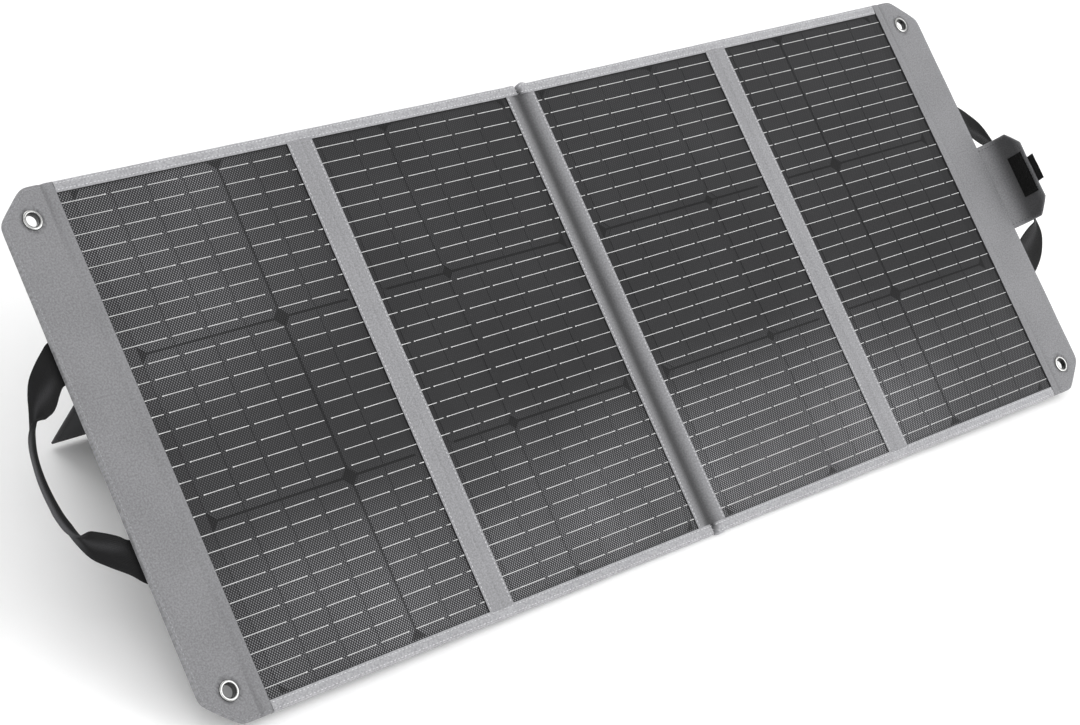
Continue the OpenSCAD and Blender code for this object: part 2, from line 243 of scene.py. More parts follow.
def embossedFilm(name, colour, rough, glint):
    # charcoal cells under a clear film with a fine raised dot pattern
    material, tree, shader, place = startMaterial(name, True, IOR=1.45, Specular_IOR_Level=0.1)
    apart = addNode(tree, "SeparateXYZ", {0: place}).outputs
    across, up = film["dotPitch"]
    dots = times(tree, waveOf(tree, apart[0], across), waveOf(tree, apart[1], up))
    dots = ranged(tree, dots, 0.0, 0.75, 0.0, 1.0)
    fingers = waveOf(tree, apart[0], film["fingerPitch"])
    # painted glints on the dots stand out most at the left end and along the bottom
    leftward = ranged(tree, apart[0], *film["leftEnd"])
    upward = ranged(tree, apart[1], *film["upTheLeft"])
    lowest = ranged(tree, apart[1], *film["lowestRow"])
    lowest = times(tree, lowest, ranged(tree, apart[0], *film["rightEnd"]))
    patches = ranged(tree, noiseNode(tree, place, 4.2, 2.0), 0.3, 0.7, 0.7, 1.25)
    # painted glint: the mask of where the dots shine
    rubbedAndShine = mathNode(tree, "MAXIMUM", times(tree, leftward, upward), lowest)
    glintingDots = times(tree, times(tree, dots, rubbedAndShine), patches)
    cloud = ranged(tree, noiseNode(tree, place, 9.0, 3.0), 0.3, 0.7, 0.93, 1.07)
    brightness = plus(tree, cloud, times(tree, glintingDots, glint))
    brightness = plus(tree, brightness, times(tree, fingers, 0.05))
    grain = noiseNode(tree, place, 900.0, 1.0)
    brightness = times(tree, brightness, ranged(tree, grain, 0.25, 0.75, 0.86, 1.14))
    paint(tree, shader, colour, brightness)
    roughen(tree, shader, grain, rough, rough + 0.12)
    raiseSurface(tree, shader, dots, 0.35, 0.00025)
    return material


def ribbedWebbing(name, colour, ribPitch=0.0024, crossPitch=0.0012, rough=0.34):
    # ribs along the strap, with a fine cross weave, a low sheen and a painted highlight from the shine amount
    material, tree, shader, place = startMaterial(
        name, False, Sheen_Weight=0.03, Sheen_Roughness=0.35, Specular_IOR_Level=0.14
    )
    apart = addNode(tree, "SeparateXYZ", {0: place}).outputs
    ribs, cross = waveOf(tree, apart[0], ribPitch), waveOf(tree, apart[1], crossPitch)
    grain = noiseNode(tree, place, 700.0, 2.0)
    weave = plus(tree, times(tree, ribs, 0.6), times(tree, cross, 0.3))
    brightness = plus(tree, ranged(tree, grain, 0.25, 0.75, 0.75, 1.25), times(tree, weave, 0.16))
    # painted highlight: the shine amount lifts the colour
    paintedShine = times(tree, amountNode(tree, "wearAndPaintedShine"), 12.0)
    paint(tree, shader, colour, times(tree, brightness, plus(tree, 1.0, paintedShine)))
    roughen(tree, shader, grain, rough, rough + 0.2)
    raiseSurface(tree, shader, plus(tree, weave, grain), 0.5, 0.0005)
    return material


def fuzzyTape(name, colour):
    # hook or loop tape: small matt tufts, paler at their middles and darker between them
    material, tree, shader, place = startMaterial(name, False, Sheen_Weight=0.05, Specular_IOR_Level=0.1)
    tufts = addNode(tree, "TexVoronoi", {"Vector": place, "Scale": 620.0}).outputs["Distance"]
    grain = noiseNode(tree, place, 300.0, 4.0)
    tops = ranged(tree, tufts, 0.1, 0.7, 1.5, 0.6)
    paint(tree, shader, colour, plus(tree, tops, ranged(tree, grain, 0.3, 0.7, -0.2, 0.3)))
    roughen(tree, shader, grain, 0.85, 1.0)
    raiseSurface(tree, shader, mathNode(tree, "SUBTRACT", grain, tufts), 0.8, 0.0009)
    return material


def plainFinish(name, colour, rough, grain, grainScale, relief, metal=0.0, onCad=False):
    # metal, plastic, thread and board: a grain, fine scratches and slight soiling
    material, tree, shader, place = startMaterial(name, onCad, Metallic=metal)
    fine = noiseNode(tree, place, grainScale, 3.0)
    drawnOut = addNode(tree, "Mapping", {"Vector": place, "Scale": (1.0, 14.0, 1.0)}).outputs[0]
    scratches = noiseNode(tree, drawnOut, 160.0, 3.0)
    soil = noiseNode(tree, place, 30.0, 4.0)
    brightness = ranged(tree, fine, 0.25, 0.75, 1 - grain, 1 + grain)
    paint(tree, shader, colour, plus(tree, brightness, ranged(tree, soil, 0.35, 0.75, 0.04, -0.08)))
    scratched = ranged(tree, scratches, 0.35, 0.7, rough, rough + 0.14)
    matt = plus(tree, scratched, ranged(tree, soil, 0.4, 0.75, 0.0, 0.1))
    tree.links.new(matt, shader.inputs["Roughness"])
    raiseSurface(tree, shader, fine, relief, 0.0003)
    return material


def paleFloor():
    material, tree, shader, place = startMaterial("pale floor", True, Specular_IOR_Level=0.1)
    mottle = ranged(tree, noiseNode(tree, place, 40.0), 0.2, 0.8, 0.997, 1.003)
    paint(tree, shader, (0.97, 0.97, 0.97), mottle)
    roughen(tree, shader, noiseNode(tree, place, 90.0), 0.85, 0.9)
    return material


canvas = {"grain": 0.2, "grainScale": 480.0}
coated = {"pitch": 0.0014, "mottle": 0.07}
flapFabric = wovenFabric("mid grey canvas", (0.212, 0.212, 0.22), **canvas)
bandFabric = wovenFabric("mid grey band canvas", (0.262, 0.262, 0.272), **canvas)
bindingFabric = wovenFabric("light grey edge binding", (0.345, 0.345, 0.358), **canvas)
backFabric = wovenFabric("dark grey coated canvas", (0.075, 0.075, 0.08), **coated)
sleeveFabric = wovenFabric("dark grey sleeve canvas", (0.045, 0.045, 0.048), **coated)
# painted shade: near black cloth for the side walls of bands and flaps, where shade falls
edgeShadeCloth = wovenFabric("cloth edge in painted shade", (0.018, 0.018, 0.019), grain=0.25)
blackWebbing = ribbedWebbing("black satin webbing", (0.006, 0.006, 0.0064))
hookTape = fuzzyTape("black hook tape", (0.005, 0.005, 0.005))
loopTape = fuzzyTape("black loop tape", (0.013, 0.013, 0.014))
cellFilm = embossedFilm("cells under embossed film", (0.023, 0.023, 0.0241), 0.4, 11.5)
backSheet = embossedFilm("black back sheet under embossed film", (0.021, 0.021, 0.022), 0.42, 11.5)
# painted shade: the gap sheets are darker than the back sheet they lie on, for the shade in the gaps
gapPaintedShade = embossedFilm("dark gaps between the cells", (0.0125, 0.0125, 0.013), 0.5, 8.0)

thread = {"grain": 0.2, "grainScale": 900.0, "relief": 0.4}
paleThread = plainFinish("pale sewing thread", (0.6, 0.6, 0.62), 0.7, **thread)
greyThread = plainFinish("grey sewing thread", (0.3, 0.3, 0.31), 0.75, **thread)
darkThread = plainFinish("dark sewing thread", (0.035, 0.035, 0.037), 0.7, **thread)

# roughness, grain, size of grain and relief
nickel = plainFinish("polished nickel", (0.46, 0.46, 0.455), 0.12, 0.04, 300.0, 0.08, metal=1.0)
nickelPaintedShade = plainFinish("nickel in shade", (0.07, 0.07, 0.07), 0.2, 0.05, 300.0, 0.08, metal=1.0)
nickelBack = plainFinish("nickel washer", (0.62, 0.61, 0.60), 0.26, 0.05, 300.0, 0.1, metal=1.0, onCad=True)
tinnedWire = plainFinish("tinned cell ribbon", (0.54, 0.54, 0.54), 0.42, 0.14, 260.0, 0.2, metal=0.25)
zipPlastic = plainFinish("black zip teeth", (0.014, 0.014, 0.015), 0.35, 0.1, 900.0, 0.2)
zipMetal = plainFinish("gunmetal slider", (0.33, 0.33, 0.34), 0.28, 0.06, 300.0, 0.1, metal=1.0)
stiffener = plainFinish("hollow plastic board", (0.62, 0.62, 0.6), 0.5, 0.05, 90.0, 0.2, onCad=True)
mouldedPlastic = plainFinish(
    "black moulded plastic", (0.022, 0.022, 0.024), 0.5, 0.12, 1400.0, 0.35, onCad=True
)
screwSteel = plainFinish("plain steel", (0.55, 0.55, 0.56), 0.3, 0.05, 400.0, 0.1, metal=1.0, onCad=True)
greenBoard = plainFinish("green circuit board", (0.02, 0.11, 0.045), 0.35, 0.12, 500.0, 0.15, onCad=True)
diodeBody = plainFinish("black diode body", (0.016, 0.016, 0.016), 0.45, 0.1, 900.0, 0.2, onCad=True)
print("materials made")

# Ways of making a piece


def markPlace(bm):
    # the flat place of each point, in metres, which the patterns follow
    layer = bm.verts.layers.float_vector.get("flatPlace") or bm.verts.layers.float_vector.new("flatPlace")
    for vert in bm.verts:
        vert[layer] = vert.co * 0.001


def markAmount(bm, word, amountAt):
    # how worn or how creased the cloth is at each point, from 0 to 1
    layer = bm.verts.layers.float.get(word) or bm.verts.layers.float.new(word)
    for vert in bm.verts:
        vert[layer] = amountAt(vert.co)


def flatSheet(low, high, cuts):
    bm = bmesh.new()
    bmesh.ops.create_grid(bm, x_segments=cuts[0], y_segments=cuts[1], size=0.5)
    bmesh.ops.scale(bm, vec=(high[0] - low[0], high[1] - low[1], 1), verts=bm.verts)
    bmesh.ops.translate(bm, vec=((low[0] + high[0]) / 2, (low[1] + high[1]) / 2, 0), verts=bm.verts)
    markPlace(bm)
    return bm


def sweep(points, step, steps):
    # carries a closed line of points along a straight step, and closes both ends
    bm = bmesh.new()
    line = [bm.verts.new(point) for point in points]
    edges = [bm.edges.new(pair) for pair in zip(line, line[1:] + line[:1])]
    bmesh.ops.spin(bm, geom=line + edges, cent=(0, 0, 0), axis=(0, 0, 1), dvec=step, angle=0, steps=steps)
    bmesh.ops.holes_fill(bm, edges=bm.edges[:], sides=0)
    bmesh.ops.recalc_face_normals(bm, faces=bm.faces[:])
    markPlace(bm)
    return bm


def shape(bm, move):
    for vert in bm.verts:
        vert.co = move(vert.co.copy())
    return bm


def thicken(bm, backAt):
    # copies the sheet to its back and closes the rim
    made = bmesh.ops.extrude_face_region(bm, geom=bm.faces[:])["geom"]
    for vert in made:
        if isinstance(vert, bmesh.types.BMVert):
            vert.co.z = backAt(vert.co)
    bmesh.ops.recalc_face_normals(bm, faces=bm.faces[:])
    bm.normal_update()
    return bm


def rimEdges(bm, upward=1):
    # the edges where the face turns down into the rim
    found = []
    for edge in bm.edges:
        lifts = sorted(face.normal.z * upward for face in edge.link_faces)
        if len(lifts) == 2 and lifts[1] > 0.8 and abs(lifts[0]) < 0.5:
            found.append(edge)
    return found


def softenRim(bm, width, upward=1, segments=3, keepOff=None):
    # rounds the rim, apart from any hole that keepOff picks out
    rim = rimEdges(bm, upward)
    if keepOff:
        rim = [edge for edge in rim if not keepOff(edge.verts[0].co)]
    bmesh.ops.bevel(bm, geom=rim, offset=width, segments=segments, profile=0.5, affect="EDGES", material=-1)


def darkRim(bm, chosen):
    for face in bm.faces:
        if abs(face.normal.z) < 0.6 and chosen(face.calc_center_median(), face.normal):
            face.material_index = 1


def finishPiece(bm, name, half, materials, body=None, turn=None, sharp=38):
    if half == "middle":
        shape(bm, leanBoth)
    if not bm.verts.layers.float_vector.get("flatPlace"):
        markPlace(bm)
    if turn is not None:
        bm.transform(turn)
    bm.transform(halves[half])
    if halves[half].determinant() < 0:
        bmesh.ops.reverse_faces(bm, faces=bm.faces[:])
    mesh = bpy.data.meshes.new(name)
    bm.to_mesh(mesh)
    bm.free()
    mesh.shade_smooth()
    mesh.set_sharp_from_angle(angle=math.radians(sharp))
    piece = bpy.data.objects.new(name, mesh)
    scene.collection.objects.link(piece)
    for material in materials if isinstance(materials, (list, tuple)) else [materials]:
        mesh.materials.append(material)
    if body:
        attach(piece, body)
    return piece


def giveThickness(piece, thickness, offset=0.0):
    made = piece.modifiers.new("cloth thickness", "SOLIDIFY")
    made.thickness = thickness * 0.001
    made.offset = offset
    made.use_even_offset = True


def addStitches(bm, start, end, pitch=4.8, length=3.2, width=0.95, rise=0.45):
    # a row of separate stitches, each a low rounded bead of thread
    start, end = Vector(start), Vector(end)
    run = end - start
    count = max(1, int(run.length / pitch))
    angle = math.atan2(run.y, run.x)
    for number in range(count):
        middle = start + run * ((number + 0.5) / count)
        matrix = (
            Matrix.Translation(middle)
            @ Matrix.Rotation(angle, 4, "Z")
            @ Matrix.Diagonal((length / 2, width / 2, rise, 1))
        )
        bmesh.ops.create_icosphere(bm, subdivisions=1, radius=1, matrix=matrix)


def addStitchPath(bm, points, **sizes):
    for start, end in zip(points, points[1:]):
        addStitches(bm, start, end, **sizes)


def withEnds(points):
    # the points, and one more past each end, for a curve to start and stop on
    points = [Vector(point) for point in points]
    return [2 * points[0] - points[1]] + points + [2 * points[-1] - points[-2]]


def between(a, b, c, d, t):
    # a place on the smooth curve from b to c
    bend, twist = 2 * a - 5 * b + 4 * c - d, 3 * b - 3 * c + d - a
    return 0.5 * (2 * b + (c - a) * t + bend * t**2 + twist * t**3)


def addStitchLoop(bm, nearX, farX, nearY, farY, z):
    corners = [(nearX, nearY), (farX, nearY), (farX, farY), (nearX, farY), (nearX, nearY)]
    addStitchPath(bm, [(x, y, z) for x, y in corners])


def addCrossedBox(bm, near, far, low, high, z):
    # the square with a cross in it that holds down a strap's end
    corners = [(near, low), (far, low), (far, high), (near, high), (near, low), (far, high)]
    addStitchPath(bm, [(x, y, z) for x, y in corners])
    addStitches(bm, (near, high, z), (far, low, z))


def smoothPath(points, count):
    # evenly spaced points on one smooth curve through the given ones, and its length
    ends = withEnds(points)
    fine = []
    for a, b, c, d in zip(ends, ends[1:], ends[2:], ends[3:]):
        fine += [between(a, b, c, d, number / 24) for number in range(24)]
    fine.append(ends[-2])
    lengths = [0.0]
    for a, b in zip(fine, fine[1:]):
        lengths.append(lengths[-1] + (b - a).length)
    spaced, at = [], 0
    for number in range(count):
        wanted = lengths[-1] * number / (count - 1)
        while at < len(fine) - 2 and lengths[at + 1] < wanted:
            at += 1
        share = (wanted - lengths[at]) / max(lengths[at + 1] - lengths[at], 1e-9)
        spaced.append(fine[at].lerp(fine[at + 1], min(1, share)))
    return spaced, lengths[-1]


def pipeMesh(points, radius, closed=False):
    # a round cord of thread or piping along points, as a mesh in millimetres
    curve = bpy.data.curves.new("piping line", "CURVE")
    curve.dimensions = "3D"
    curve.bevel_depth = radius
    curve.bevel_resolution = 2
    curve.use_fill_caps = True
    line = curve.splines.new("POLY")
    line.points.add(len(points) - 1)
    for spot, point in zip(line.points, points):
        spot.co = (*point, 1)
    line.use_cyclic_u = closed
    holder = bpy.data.objects.new("piping line", curve)
    mesh = bpy.data.meshes.new_from_object(holder)
    bm = bmesh.new()
    bm.from_mesh(mesh)
    bpy.data.objects.remove(holder)
    bpy.data.meshes.remove(mesh)
    markPlace(bm)
    return bm


def joinInto(bm, part):
    mesh = bpy.data.meshes.new("part")
    part.to_mesh(mesh)
    part.free()
    bm.from_mesh(mesh)
    bpy.data.meshes.remove(mesh)


def layAlong(line, count, span, columns, aside=0):
    # a strip of cloth laid along a line of y and z places, and how long it is
    centres, length = smoothPath([(0, y, z) for y, z in line], count)
    bm = flatSheet((span[0], 0), (span[1], 1), (columns, count - 1))
    place = bm.verts.layers.float_vector["flatPlace"]
    for vert in bm.verts:
        spot = centres[round(vert.co.y * (count - 1))]
        vert[place] = (vert.co.x * 0.001, vert.co.y * length * 0.001, 0)
        vert.co = (vert.co.x + aside, spot.y, spot.z)
    bmesh.ops.recalc_face_normals(bm, faces=bm.faces[:])
    return bm, length


# Cells and their ribbons
ribbons = {
    "size": 182, "gap": 3, "pitch": 185, "margin": 7, "perCell": 10, "strips": 4,
    "width": 0.72, "height": 0.14, "tail": 1.1, "solder": (1.4, 0.75, 0.14),
}
# how far each ribbon stops before the end of its strip
ribbonGaps = {"outer_left": 6.2, "inner_left": 4.6, "inner_right": 3.8, "outer_right": 3.4}


def ribbonRow(bm, low, high, stripStarts, y, forward, gap):
    # one ribbon, broken a little before the end of each strip, with a short tail at the far side
    strip = ribbons["size"] / ribbons["strips"]
    cuts = []
    for start in stripStarts:
        near, far = (start, start + strip - gap) if forward else (start + gap, start + strip)
        cuts.append([near + 0.4, far])
    if forward:
        cuts[0][0] = low + 0.3
        cuts.append([cuts[-1][1] + gap + 0.2, high - 0.6])
    else:
        cuts[-1][1] = high - 0.3
        cuts.insert(0, [low + 0.6, cuts[0][0] - gap - 0.2])
    z = panel["cellTop"] + ribbons["height"] / 2
    for near, far in cuts:
        if far - near < 1:
            continue
        middle = Matrix.Translation(((near + far) / 2, y, z))
        size = Matrix.Diagonal((far - near, ribbons["width"], ribbons["height"], 1))
        bmesh.ops.create_cube(bm, size=1, matrix=middle @ size)
        # the soldered end is a little wider and prouder
        end = far - ribbons["tail"] if forward else near + ribbons["tail"]
        spot = Matrix.Translation((end, y, z + 0.03)) @ Matrix.Diagonal((*ribbons["solder"], 1))
        bmesh.ops.create_icosphere(bm, subdivisions=1, radius=1, matrix=spot)


def makeRibbons(section, side):
    low, high = sections[section]
    half, strip = ribbons["size"] / 2, ribbons["size"] / ribbons["strips"]
    first = low + ribbons["margin"]
    widths = [half, ribbons["size"]] if section == "outer" else [ribbons["size"], half]
    starts = [first + strip * number for number in range(int(widths[0] / strip))]
    second = first + widths[0] + ribbons["gap"]
    starts += [second + strip * number for number in range(int(widths[1] / strip))]
    bm = bmesh.new()
    for row in range(3):
        bottom = (row - 1.5) * ribbons["pitch"] + ribbons["gap"] / 2
        # the right half is drawn outwards and the left half inwards, so both turn over with the row
        forward = row == 1
        for number in range(ribbons["perCell"]):
            y = bottom + ribbons["size"] * (number + 0.5) / ribbons["perCell"]
            ribbonRow(bm, low, high, starts, y, forward, ribbonGaps[f"{section}_{side}"])
    finishPiece(bm, f"{section}_{side}_ribbons", side, tinnedWire, f"{section}_{side}_panel")


cellGap = {
    "cut": 10.5, "column": 0.6, "row": 1.08, "reach": 276, "rim": 279, "border": 1.5,
    "top": 277.9, "topEnd": 279.3,
}


def addPlate(bm, outline, low, high):
    face = bm.faces.new([bm.verts.new((x, y, low)) for x, y in outline])
    made = bmesh.ops.extrude_face_region(bm, geom=[face])["geom"]
    raised = [vert for vert in made if isinstance(vert, bmesh.types.BMVert)]
    bmesh.ops.translate(bm, vec=(0, 0, high - low), verts=raised)


def oblong(nearX, farX, nearY, farY):
    return [(nearX, nearY), (farX, nearY), (farX, farY), (nearX, farY)]


def makeGaps(section, side):
    # dark lines between the cells, with a diamond where four cut corners meet, painted darker than the back
    # sheet for the shade in the gaps
    low, high = sections[section]
    half, gap, cut = ribbons["size"] / 2, ribbons["gap"], cellGap["cut"]
    first = low + ribbons["margin"]
    last = first + half + gap + ribbons["size"]
    if section == "outer":
        crossing, notch, inward = first + half + gap / 2, last, -1
    else:
        crossing, notch, inward = first + ribbons["size"] + gap / 2, first, 1
    bottom, top = panel["laminateTop"] - 0.02, panel["laminateTop"] + 0.04
    bm = bmesh.new()
    for edge in (-1, 1):
        y = edge * ribbons["pitch"] / 2
        addPlate(bm, oblong(first, last, y - cellGap["row"], y + cellGap["row"]), bottom, top)
    column, reach = cellGap["column"], cellGap["reach"]
    addPlate(bm, oblong(crossing - column, crossing + column, -reach, reach), bottom, top + 0.01)
    for row in (-1.5, -0.5, 0.5, 1.5):
        y = row * ribbons["pitch"]
        # the diamonds at the top and bottom edges are halved, and so are those at the notched side
        inner = max(-1, min(1, y / 277.5)) if abs(y) > 200 else 0
        diamond = [(x, dy) for x, dy in ((cut, 0), (0, cut), (-cut, 0), (0, -cut)) if dy * inner <= 0]
        addPlate(bm, [(crossing + x, y + dy) for x, dy in diamond], bottom, top + 0.02)
        corner = [(x, dy) for x, dy in ((0, -cut), (inward * cut, 0), (0, cut)) if dy * inner <= 0]
        corner = [(notch + x, y + dy) for x, dy in corner] + ([(notch, y)] if inner else [])
        addPlate(bm, corner, bottom, top + 0.02)
    # the shadowed line where the laminate goes under the binding and the band or flap
    near, far = (low, low + cellGap["border"]) if side == "left" else (high - cellGap["border"], high)
    addPlate(bm, oblong(near, far, -cellGap["rim"], cellGap["rim"]), bottom, top)
    addPlate(bm, oblong(low, high, cellGap["top"], cellGap["topEnd"]), bottom, top + 0.01)
    bmesh.ops.recalc_face_normals(bm, faces=bm.faces[:])
    finishPiece(bm, f"{section}_{side}_cell_gaps", side, gapPaintedShade, f"{section}_{side}_panel")


for side in sides:
    for section in sections:
        makeRibbons(section, side)
        makeGaps(section, side)
print("cell ribbons and gaps laid")

# Edge binding
binding = {
    "outline": [
        (279.4, 5.55), (279.4, 6.5), (280.3, 7.0), (281.9, 6.75), (284.6, 7.25), (287.6, 7.2), (289.0, 6.9),
        (290.6, 7.0), (291.6, 6.2), (292.1, 5.0), (292.15, 2.3), (292.1, -0.4), (291.5, -1.7), (290.0, -2.1),
        (286.0, -2.25), (282.0, -1.95), (280.2, -2.2), (279.4, -1.7), (279.4, -1.05), (291.0, -1.05),
        (291.0, 5.5),
    ],
    "stitchY": (281.9, 289.0),
    "stitchZ": (6.95, -2.1),
}


def bindingLine(x, edge):
    return [(x, y * edge, z) for y, z in binding["outline"]]


def addBindingStitches(bm, low, high, edge):
    for y in binding["stitchY"]:
        for z in binding["stitchZ"]:
            addStitches(bm, (low + 1, y * edge, z), (high - 1, y * edge, z))


def bindingWear(co):
    return smoothStep(288.5, 291.5, abs(co.y))


def unevenBinding(co, edge):
    stops = [end for section in sections.values() for end in section]
    ease = min(smoothStep(0, 8, abs(co.x - stop)) for stop in stops)
    if co.z > 5.9:
        co.z += 0.22 * ease * ripple(co.x, co.y, 16, 3.1 * edge)
    if abs(co.y) > 291.3:
        co.y += 0.35 * ease * edge * ripple(co.x, co.z, 60, 1.7)
    return co


for side in sides:
    for section, (low, high) in sections.items():
        for edge, word in ((1, "top"), (-1, "bottom")):
            node, body = f"{section}_{side}_{word}_binding", f"{section}_{side}_panel"
            steps = 60
            bm = sweep(bindingLine(low, edge), ((high - low) / steps, 0, 0), steps)
            markAmount(bm, "wearAndPaintedShine", bindingWear)
            shape(bm, lambda co: unevenBinding(co, edge))
            piece = finishPiece(bm, node + "_cloth", side, bindingFabric, body, sharp=60)
            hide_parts(node)
            bm = bmesh.new()
            addBindingStitches(bm, low, high, edge)
            finishPiece(bm, node + "_stitches", side, paleThread, body)
print("edge binding sewn on")

# Fabric bands over the folds
band = {
    "thick": 1.15, "stitchInset": 2.6, "ridge": 0.9, "groove": 4.0, "grooveWidth": 11.0, "grooveHalf": 14.6,
    "notch": 3.4, "lobe": 1.2, "stitchReach": 278, "backInset": 3.2, "backReach": 277,
}


def bandHeight(co, low, high, isMiddle):
    fromEdge = min(co.x - low, high - co.x)
    z = 6.75 + 0.35 * smoothStep(0, 0.8, fromEdge)
    z -= 0.3 * bump(fromEdge - band["stitchInset"], 0.8)
    centre = (low + high) / 2
    if isMiddle:
        z -= band["groove"] * bump(co.x, band["grooveWidth"]) * (0.9 + 0.1 * ripple(co.y, 0, 90, 4))
    else:
        away = co.x - centre
        z += band["ridge"] * bump(away, 6) - 0.45 * bump(away - 0.6 * ripple(co.y, 0, 80, 7), 1.0)
    return z + 0.18 * ripple(co.x, co.y, 22, centre)


# painted shade: darkens the middle band's groove, and a faint line beside the fold of the outer bands
def bandPaintedShade(co, isMiddle):
    if isMiddle:
        return 1.16 * bump(co.x + 1.5, 12.8)
    return 0.14 * bump(co.x - panel["foldX"] + 2, 2.2)


def makeFrontBand(name, half, low, high, bodies, isMiddle):
    columns = 44 if isMiddle else 36

    def backAt(co):
        # the band lies on the laminates, and only the groove goes down between them
        under = co.z - band["thick"]
        return under if isMiddle and abs(co.x) <= band["grooveHalf"] else max(5.56, under)

    # paler along both edges from scuffing, and along the fold line a painted highlight of the ridge
    def wearAndRidgeShine(co):
        return bump(min(co.x - low, high - co.x), 2.0) + 0.6 * bump(co.x - panel["foldX"], 3.0)

    bm = flatSheet((low, -panel["bandY"] + 9), (high, panel["bandY"] - 9), (columns, 96))
    markAmount(bm, "wearAndPaintedShine", wearAndRidgeShine)
    # painted shade in the groove and along the fold
    markAmount(bm, "crease", lambda co: bandPaintedShade(co, isMiddle))
    shape(bm, lambda co: Vector((co.x, co.y, bandHeight(co, low, high, isMiddle))))
    thicken(bm, backAt)
    # painted shade on the band's side walls
    darkRim(bm, lambda spot, normal: abs(normal.x) > 0.5)
    cloth = finishPiece(bm, name + "_cloth", half, [bandFabric, edgeShadeCloth], sharp=50)
    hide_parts(name)
    bm = bmesh.new()
    for x in (low + band["stitchInset"], high - band["stitchInset"]):
        addStitches(bm, (x, -band["stitchReach"], 6.9), (x, band["stitchReach"], 6.9))
    stitches = finishPiece(bm, name + "_stitches", half, paleThread)
    start, end = placed((low, 0, 6), half), placed((high, 0, 6), half)
    for piece in (cloth, stitches):
        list(bodies)
        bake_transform(piece)
        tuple(start)
        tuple(end)


def makeBackBand(name, half, low, high, bodies, isMiddle):
    bm = flatSheet((low + 0.3, -panel["bandY"]), (high - 0.3, panel["bandY"]), (20, 96))
    centre = (low + high) / 2
    slack = 0.8 if isMiddle else 1.5
    shape(bm, lambda co: Vector((co.x, co.y, -1.05)))
    thicken(bm, lambda co: -2.0 - slack * bump(co.x - centre, 7) - 0.15 * ripple(co.x, co.y, 30, 9))
    cloth = finishPiece(bm, name + "_cloth", half, [backFabric, edgeShadeCloth], sharp=50)
    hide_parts(name)
    bm = bmesh.new()
    for x in (low + band["backInset"], high - band["backInset"]):
        addStitches(bm, (x, -band["backReach"], -2.1), (x, band["backReach"], -2.1))
    stitches = finishPiece(bm, name + "_stitches", half, darkThread)
    start, end = placed((low, 0, 0), half), placed((high, 0, 0), half)
    for piece in (cloth, stitches):
        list(bodies)
        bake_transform(piece)
        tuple(start)
        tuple(end)


def pinchBinding(co, edge, centre, isMiddle):
    # over the middle fold the binding creases inwards between two small lobes
    away = co.x - centre
    front = smoothStep(-1, 6, co.z)
    if isMiddle:
        lobes = bump(abs(away) - 9, 5.5)
        crease = bump(away, 2.6)
        co.z += front * (band["lobe"] * lobes * (1.5 if away > 0 else 0.5) - 4.6 * crease)
        outward = smoothStep(281, 291, abs(co.y))
        co.y += edge * outward * ((1.8 if away > 0 else 0.2) * lobes - band["notch"] * crease)
    else:
        co.z += front * (0.55 * bump(away, 7) - 0.7 * bump(away - 0.5, 1.6))
    return co


# painted shade in the crease of the binding over the middle fold
def foldPaintedShade(co):
    return 0.9 * bump(co.x, 3.2) + 0.5 * bump(co.x, 8) * (1 - smoothStep(281, 289, abs(co.y)))


def makeFoldBinding(name, half, low, high, bodies, isMiddle):
    for edge, word in ((1, "top"), (-1, "bottom")):
        steps = 46 if isMiddle else 28
        bm = sweep(bindingLine(low, edge), ((high - low) / steps, 0, 0), steps)
        markAmount(bm, "wearAndPaintedShine", bindingWear)
        if isMiddle:
            markAmount(bm, "crease", foldPaintedShade)
        shape(bm, lambda co: pinchBinding(co, edge, (low + high) / 2, isMiddle))
        node = f"{name}_{word}_binding"
        cloth = finishPiece(bm, node, half, bindingFabric, sharp=60)
        bm = bmesh.new()
        addBindingStitches(bm, low, high, edge)
        shape(bm, lambda co: pinchBinding(co, edge, (low + high) / 2, isMiddle))
        stitches = finishPiece(bm, node + "_stitches", half, paleThread)
        for piece in (cloth, stitches):
            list(bodies)
            placed((low, 0, 6), half)
            placed((high, 0, 6), half)
            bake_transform(piece)


folds = {
    "left": (panel["innerEnd"], panel["outerStart"], ("inner_left_panel", "outer_left_panel")),
    "middle": (-panel["middleEdge"], panel["middleEdge"], ("inner_left_panel", "inner_right_panel")),
    "right": (panel["innerEnd"], panel["outerStart"], ("inner_right_panel", "outer_right_panel")),
}
for half, (low, high, bodies) in folds.items():
    isMiddle = half == "middle"
    makeFrontBand(f"{half}_fold_band", half, low, high, bodies, isMiddle)
    makeBackBand(f"{half}_fold_back_band", half, low, high, bodies, isMiddle)
    makeFoldBinding(f"{half}_fold", half, low, high, bodies, isMiddle)
print("fold bands sewn on")

# End flaps and eyelets
endFlap = {
    "cornerX": 37, "cornerY": 33, "back": 1.6, "front": 6.35, "lipEnd": 663.5, "hem": 3.4, "round": 3.0,
    "shoulder": 2.4, "seamX": 668,
}
eyelet = {"x": 693, "y": 256, "barrel": 7.6, "cut": 9.3, "brightFrom": 8.2, "brightTo": 11.1, "plainRim": 14}
# the ring's cross-section: distance from its centre, and height
eyeletRing = [
    (7.0, 0.7), (7.0, 5.8), (7.15, 6.7), (7.6, 7.4), (8.3, 7.85), (9.2, 8.0), (10.1, 7.85), (10.9, 7.4),
    (11.4, 6.95), (11.5, 6.55), (10.6, 6.45), (8.4, 6.4), (7.6, 5.6), (7.6, 0.7),
]


def flapReach(y):
    # how far out the flap goes at this height, with its rounded cut corners
    past = abs(y) - (panel["halfHeight"] - endFlap["cornerY"])
    cut = panel["halfLength"] - endFlap["cornerX"] * past / endFlap["cornerY"]
    return softLeast(panel["halfLength"], cut, endFlap["round"]) + 0.3


